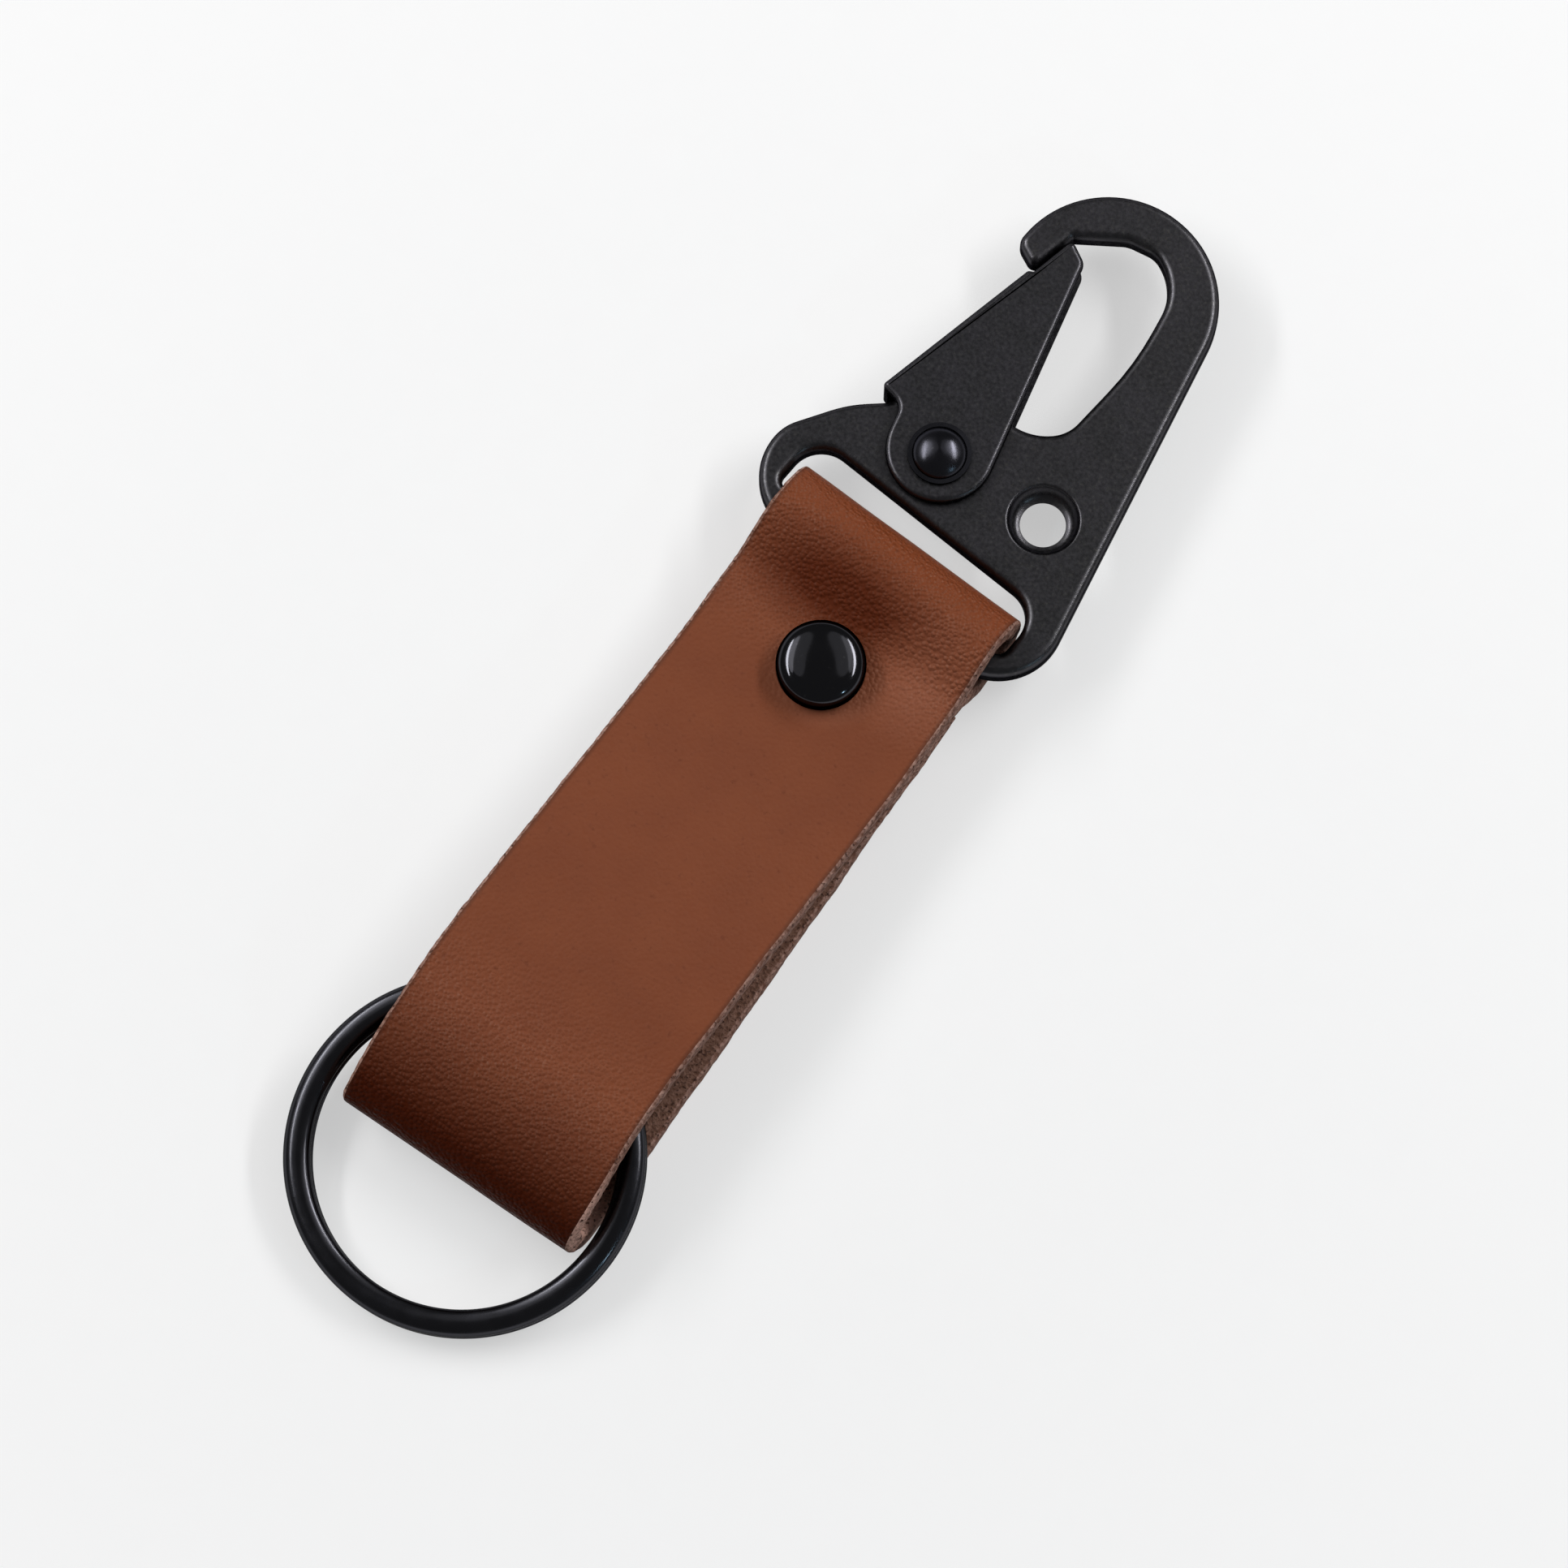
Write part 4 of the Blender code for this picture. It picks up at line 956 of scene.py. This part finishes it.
def gate_sheet():
    """The U of sheet: a block as thick as both cheeks, hollowed from its open side up to the spine."""
    body = slab("gate_sheet", gate_outline(), edge_levels(cheek_face, GATE_EDGE))
    notch, step, ledge, tip = spine_line()
    sheet = Vector((GATE_SHEET, 0))
    low = notch * 2 - step + sheet
    right_x = GATE_EYE_RADIUS * 2
    top_y = tip.y + GATE_EYE_RADIUS
    hollow = [low, step + sheet, ledge + sheet, tip + sheet, Vector((tip.x + GATE_SHEET, top_y))]
    hollow += [Vector((right_x, top_y)), Vector((right_x, low.y))]
    room = PLATE / 2 + GATE_SIDE_GAP
    cutters = [prism("hollow_cutter", hollow, -room, room)]
    bore = circle(0, 0, SHANK_RADIUS + PIN_GAP)
    cutters.append(prism("gate_bore_cutter", bore, -PLATE * 2, PLATE * 2))
    settle(body, cutters, on_pivot)
    return body


gate = gate_sheet()
gate_coating = satin_black("gate_coating", (0.058, 0.057, 0.062), (0.066, 0.064, 0.072), 0.33)
gate.data.materials.append(gate_coating)
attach(gate, "gate")
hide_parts("gate")


# Gate rivet
# A steel rivet, plated black and half glossy, with a thin flange under each domed head.
# It holds the gate's cheeks on the plate, and the gate turns on it.
HEAD_FLANGE_RADIUS = 0.00285
HEAD_FLANGE = 0.0002
HEAD_FLANGE_RIM = 0.00018
FRONT_HEAD_RADIUS = 0.00245
FRONT_HEAD_HEIGHT = 0.0013
REAR_HEAD_RADIUS = 0.0024
REAR_HEAD_HEIGHT = 0.0014
HEAD_FULLNESS = 1.6

seat = cheek_face + PIN_GAP
rivet_profile = []
for radius, z in reversed(dome(REAR_HEAD_RADIUS, REAR_HEAD_HEIGHT, 0, HEAD_FULLNESS)):
    rivet_profile.append((radius, -seat - HEAD_FLANGE - z))
rivet_profile += [(HEAD_FLANGE_RADIUS, -seat - HEAD_FLANGE), (HEAD_FLANGE_RADIUS, -seat)]
rivet_profile += [(SHANK_RADIUS, -seat), (SHANK_RADIUS, seat)]
rivet_profile += [(HEAD_FLANGE_RADIUS, seat), (HEAD_FLANGE_RADIUS, seat + HEAD_FLANGE_RIM)]
for radius, z in dome(FRONT_HEAD_RADIUS, FRONT_HEAD_HEIGHT, 0, HEAD_FULLNESS):
    rivet_profile.append((radius, seat + HEAD_FLANGE + z))
head_gloss = gloss_black("gate_rivet_plating", (0.04, 0.04, 0.048), 0.22)
gate_rivet = turned("gate_pin", rivet_profile, on_pivot.translation, head_gloss)
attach(gate_rivet, "clip")
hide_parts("gate_rivet")


# Gate spring
# A torsion spring of bright drawn wire round the rivet's shank, in a pocket of the plate.
# Its tail sits in the pocket's notch. Its leg presses on the inside of the gate's spine and follows it.
SPRING_WIRE = 0.00035
SPRING_RADIUS = 0.0022
SPRING_PITCH = 0.00095
SPRING_TURNS = 1.6
SPRING_LEG_RISE = 0.0033
SPRING_TAIL = 0.0025
SPRING_ROOM = 0.0004
POCKET_FLOOR = 0.0005
GATE_SWING = radians(23)
LEG_OVERRUN = 0.002
COIL_STEPS = 64
LEG_STEPS = 14
WIRE_SIDES = 14
END_SHARPNESS = radians(50)


def spring_ends():
    """The leg's end behind the spine, and the angles at which the coil starts and the leg leaves it."""
    notch, step, ledge, tip = spine_line()
    share = (SPRING_LEG_RISE - notch.y) / (step.y - notch.y)
    behind_spine = notch.x + (step.x - notch.x) * share + GATE_SHEET + RIVET_SEAT + SPRING_WIRE / 2
    end = Vector((behind_spine, SPRING_LEG_RISE))
    leave = atan2(end.y, end.x) - acos(SPRING_RADIUS / end.length)
    return end, leave - 2 * pi * SPRING_TURNS, leave


def spring_pocket():
    """Cutters for the round pocket, the way out for the spring's leg and the notch for its tail."""
    end, first, leave = spring_ends()
    room = SPRING_WIRE / 2 + SPRING_ROOM
    floor = POCKET_FLOOR - PLATE / 2
    start = polar(SPRING_RADIUS, leave)
    outward = start.normalized() * room
    beyond = end + (end - start).normalized() * LEG_OVERRUN
    swung = Matrix.Rotation(-GATE_SWING, 2)
    way_out = [start - outward, beyond - outward, beyond + outward, swung @ (beyond + outward)]
    way_out.append(swung @ (start + outward))
    tail_start = polar(SPRING_RADIUS, first)
    tail_end = tail_start + polar(SPRING_TAIL + SPRING_ROOM, first - pi / 2)
    side = tail_start.normalized() * room
    tail_notch = [tail_start - side, tail_start + side, tail_end + side, tail_end - side]
    cutters = [
        prism("pocket_cutter", circle(0, 0, SPRING_RADIUS + room), floor, PLATE),
        prism("way_out_cutter", way_out, floor + SPRING_PITCH * SPRING_TURNS, PLATE),
        prism("tail_cutter", tail_notch, floor, PLATE),
    ]
    for cutter in cutters:
        cutter.data.transform(on_pivot)
    return cutters


def spring_line():
    """The wire's middle line from its tail, round the shank, to its leg's end."""
    end, first, leave = spring_ends()
    low = POCKET_FLOOR - PLATE / 2 + SPRING_WIRE / 2 + LAYER_GAP
    tail = polar(SPRING_RADIUS, first) + polar(SPRING_TAIL, first - pi / 2)
    line = [Vector((*tail, low))]
    for i in range(COIL_STEPS + 1):
        turns = SPRING_TURNS * i / COIL_STEPS
        line.append(Vector((*polar(SPRING_RADIUS, first + 2 * pi * turns), low + SPRING_PITCH * turns)))
    start = line[-1]
    leg_end = Vector((*end, start.z))
    return line + [start.lerp(leg_end, i / LEG_STEPS) for i in range(1, LEG_STEPS + 1)]


def spring_wire():
    line = spring_line()
    loops = []
    for i, point in enumerate(line):
        along = (line[min(i + 1, len(line) - 1)] - line[max(i - 1, 0)]).normalized()
        side = along.cross(Vector((0, 0, 1))).normalized()
        up = side.cross(along)
        turns = [2 * pi * j / WIRE_SIDES for j in range(WIRE_SIDES)]
        loops.append([point + (side * cos(a) + up * sin(a)) * SPRING_WIRE / 2 for a in turns])
    mesh = tube("spring_wire", loops)
    mesh.transform(on_pivot)
    mesh.set_sharp_from_angle(angle=END_SHARPNESS)
    return in_scene("spring_wire", mesh)


SPRING_GREY = (0.42, 0.41, 0.39)
SPRING_BRIGHT = (0.56, 0.55, 0.53)
DRAWN_SIZE = 0.0002
DRAWN_DEPTH = 0.000004


def spring_steel():
    """Bright drawn wire with the fine marks of its die."""
    look, tree, shader, place = finish("spring_wire", 0.28, 1.0)
    drawn = grain_of(tree, place, DRAWN_SIZE, detail=3.0)
    colour = blend_colours(tree, between(tree, drawn, *FULL_RANGE), SPRING_GREY, SPRING_BRIGHT)
    tree.links.new(colour, shader.inputs["Base Color"])
    raise_surface(tree, shader, drawn, DRAWN_DEPTH)
    return look


settle(plate, spring_pocket(), Matrix())
spring = spring_wire()
spring.data.materials.append(spring_steel())
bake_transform(spring)
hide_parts("gate_spring")


# Split ring
# Flattened spring-steel wire, wound to two turns that spring tight on each other and plated glossy black.
# It is threaded through the strap's lower fold, whose leather hides the wire's two ends.
RING_X = 0.00057
RING_PAST_FOLD = 0.00205
RING_RADIUS = 0.01575
RING_BAND = 0.0024
RING_WIRE = 0.00105
RING_TURN_GAP = 0.00045
RING_FOOT = 0.18
RING_CROSSING = radians(26)
RING_END_SPACE = radians(4.5)
RING_TILT = radians(6.5)
RING_LIFT = 0.00005
RING_STEP = radians(1.5)

ring_height = 2 * RING_WIRE + RING_TURN_GAP
ring_z = RING_RADIUS * sin(RING_TILT) + ring_height / 2 * cos(RING_TILT) + RING_LIFT
ring_y = ring_tip_y + RING_PAST_FOLD


def wire_height(turn):
    """The wire's height along the coil: flat, over the crossing, then flat one turn higher."""
    climb = (RING_WIRE + RING_TURN_GAP) / 2
    return -climb + 2 * climb * ease((turn - 2 * pi) / RING_CROSSING + 0.5)


def wire_section(sides=48):
    """The wire's section: round above, with a low foot that lies on the turn below."""
    foot = RING_WIRE * RING_FOOT
    section = []
    for i in range(sides):
        a = 2 * pi * (i + 0.5) / sides
        tall = RING_WIRE - foot if sin(a) > 0 else foot
        section.append((RING_BAND / 2 * cos(a), foot - RING_WIRE / 2 + tall * sin(a)))
    return section


def split_ring():
    """The coil of two turns, its ends a little short of the crossing, tilted to lie on the table."""
    start = RING_CROSSING / 2 + RING_END_SPACE
    stop = 4 * pi - RING_CROSSING / 2 - RING_END_SPACE
    steps = ceil((stop - start) / RING_STEP)
    section = wire_section()
    loops = []
    for i in range(steps + 1):
        turn = start + (stop - start) * i / steps
        outward = Vector((cos(turn + pi / 2), sin(turn + pi / 2), 0))
        middle = outward * (RING_RADIUS - RING_BAND / 2) + Vector((0, 0, wire_height(turn)))
        loops.append([middle + outward * side + Vector((0, 0, depth)) for side, depth in section])
    mesh = tube("ring_wire", loops)
    mesh.transform(Matrix.Translation((RING_X, ring_y, ring_z)) @ Matrix.Rotation(RING_TILT, 4, "X"))
    mesh.set_sharp_from_angle(angle=END_SHARPNESS)
    return in_scene("ring_wire", mesh)


ring = split_ring()
ring_gloss = gloss_black("ring_plating", (0.034, 0.034, 0.04), 0.24, (0.05, 0.05, 0.055))
ring_shader = ring_gloss.node_tree.nodes["Principled BSDF"]
ring_shader.inputs["Coat Weight"].default_value = 0.25
ring_shader.inputs["Coat Roughness"].default_value = 0.16
ring.data.materials.append(ring_gloss)
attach(ring, "ring")
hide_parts("split_ring")


# Table
# A plain pale table that the fob lies on. Seen by the camera it is white and keeps the fob's shadow.
# It throws back little light, so that the fob's sides stay dark.
TABLE_PALE = (0.9, 0.9, 0.9)
TABLE_WHITE = (0.93, 0.93, 0.93)
TABLE_TO_LIGHT = (0.2, 0.2, 0.2)
PAPER_SIZE = 0.003
WHITE_FROM = 0.05
WHITE_TO = 0.3
TABLE_SIZE = 8


def table_look():
    look, tree, shader, place = finish("pale_table", 0.9)
    rays = tree.nodes.new("ShaderNodeLightPath").outputs
    seen = combine(tree, "MAXIMUM", rays["Is Camera Ray"], rays["Is Glossy Ray"])
    seen = combine(tree, "MAXIMUM", seen, rays["Is Transmission Ray"])
    paper = grain_of(tree, place, PAPER_SIZE, detail=4.0)
    pale = blend_colours(tree, paper, TABLE_PALE, TABLE_WHITE)
    tree.links.new(blend_colours(tree, seen, TABLE_TO_LIGHT, pale), shader.inputs["Base Color"])
    shader.inputs["Specular IOR Level"].default_value = 0.1
    reach = vector_math(tree, "LENGTH", {0: place}, "Value")
    far = between(tree, reach, WHITE_FROM, WHITE_TO, 0.5, 1.0)
    white = shader_node(tree, "ShaderNodeEmission", {"Color": (1, 1, 1, 1), "Strength": 1.0})
    mix = tree.nodes.new("ShaderNodeMixShader")
    tree.links.new(combine(tree, "MULTIPLY", seen, far), mix.inputs[0])
    tree.links.new(shader.outputs[0], mix.inputs[1])
    tree.links.new(white.outputs[0], mix.inputs[2])
    tree.links.new(mix.outputs[0], tree.nodes["Material Output"].inputs["Surface"])
    return look


bpy.ops.mesh.primitive_plane_add(size=TABLE_SIZE)
table = bpy.context.object
table.name = "table"
table.data.materials.append(table_look())


# Camera
# It stands where the photograph was taken from, nearly straight above the fob.
# It is turned so that the strap runs up the picture to the right, as it does there.
CAMERA_LENS = 143.07
CAMERA_SENSOR = 36
CAMERA_NEAR = 0.01
CAMERA_TURN = radians(53.68)
CAMERA_LEAN = radians(15.1)
CAMERA_DISTANCE = 0.55
LOOK_AT = Vector((0.0026161, -0.001176, 0))

image_right = Vector((sin(CAMERA_TURN), cos(CAMERA_TURN), 0))
image_up = Vector((-cos(CAMERA_TURN), sin(CAMERA_TURN), 0))
towards_camera = Vector((0, 0, cos(CAMERA_LEAN))) - image_up * sin(CAMERA_LEAN)
camera = in_scene("camera", bpy.data.cameras.new("camera"))
camera.data.lens = CAMERA_LENS
camera.data.sensor_width = CAMERA_SENSOR
camera.data.clip_start = CAMERA_NEAR
camera_up = towards_camera.cross(image_right)
turned_to = Matrix((image_right, camera_up, towards_camera)).transposed().to_4x4()
camera.matrix_world = Matrix.Translation(LOOK_AT + towards_camera * CAMERA_DISTANCE) @ turned_to
bpy.context.scene.camera = camera


# Lights
# To either side of the camera stand a near box, a middle box and a bright far strip, all long and soft.
# A small bluish lamp stands below on the right, and the dim room is pale near the horizon.
def soft_box(name, side, up, height, width, length, radiance, colour=(1, 1, 1)):
    """An oval lamp of even brightness that faces the fob, its length along the picture's height."""
    lamp = bpy.data.lights.new(name, "AREA")
    lamp.shape = "ELLIPSE"
    lamp.size = width
    lamp.size_y = length
    lamp.color = colour
    lamp.energy = radiance * pi * (pi / 4 * width * length)
    made = in_scene(name, lamp)
    place = LOOK_AT + image_right * side + image_up * up + Vector((0, 0, height))
    out = (place - LOOK_AT).normalized()
    across = image_up.cross(out).normalized()
    facing = Matrix((across, out.cross(across), out)).transposed().to_4x4()
    made.matrix_world = Matrix.Translation(place) @ facing
    made.visible_camera = False


NEAR_BOX = {"up": 0.24, "height": 0.47, "width": 0.28, "length": 0.56, "radiance": 0.35}
MIDDLE_BOX = {"up": 0.24, "height": 0.43, "width": 0.16, "length": 0.5}
FAR_STRIP = {"up": 0.2, "height": 0.38, "width": 0.075, "length": 0.54}
SMALL_LAMP = {"up": -0.35, "height": 0.28, "width": 0.03, "length": 0.03, "radiance": 60.0}
BLUISH = (0.55, 0.85, 1)

for side, name, middle_radiance, strip_radiance in ((-1, "left", 1.8, 15.4), (1, "right", 0.9, 17.4)):
    soft_box(name + "_near_box", side * 0.2, **NEAR_BOX)
    soft_box(name + "_middle_box", side * 0.31, radiance=middle_radiance, **MIDDLE_BOX)
    soft_box(name + "_far_strip", side * 0.4, radiance=strip_radiance, **FAR_STRIP)
soft_box("small_lamp", 0.36, colour=BLUISH, **SMALL_LAMP)

HORIZON_START = 0.06
HORIZON_END = 0.15
HORIZON_GLOW = 0.9
ROOM_GLOW = 0.14

room = bpy.data.worlds.new("room")
room.use_nodes = True
bpy.context.scene.world = room
room_tree = room.node_tree
direction = room_tree.nodes.new("ShaderNodeTexCoord").outputs["Generated"]
height = shader_node(room_tree, "ShaderNodeSeparateXYZ", {"Vector": direction}).outputs["Z"]
sky = between(room_tree, height, HORIZON_START, HORIZON_END, HORIZON_GLOW, ROOM_GLOW)
room_tree.links.new(sky, room_tree.nodes["Background"].inputs["Strength"])
room_tree.nodes["Background"].inputs["Color"].default_value = (1, 1, 1, 1)

bpy.context.scene.view_settings.view_transform = "Standard"
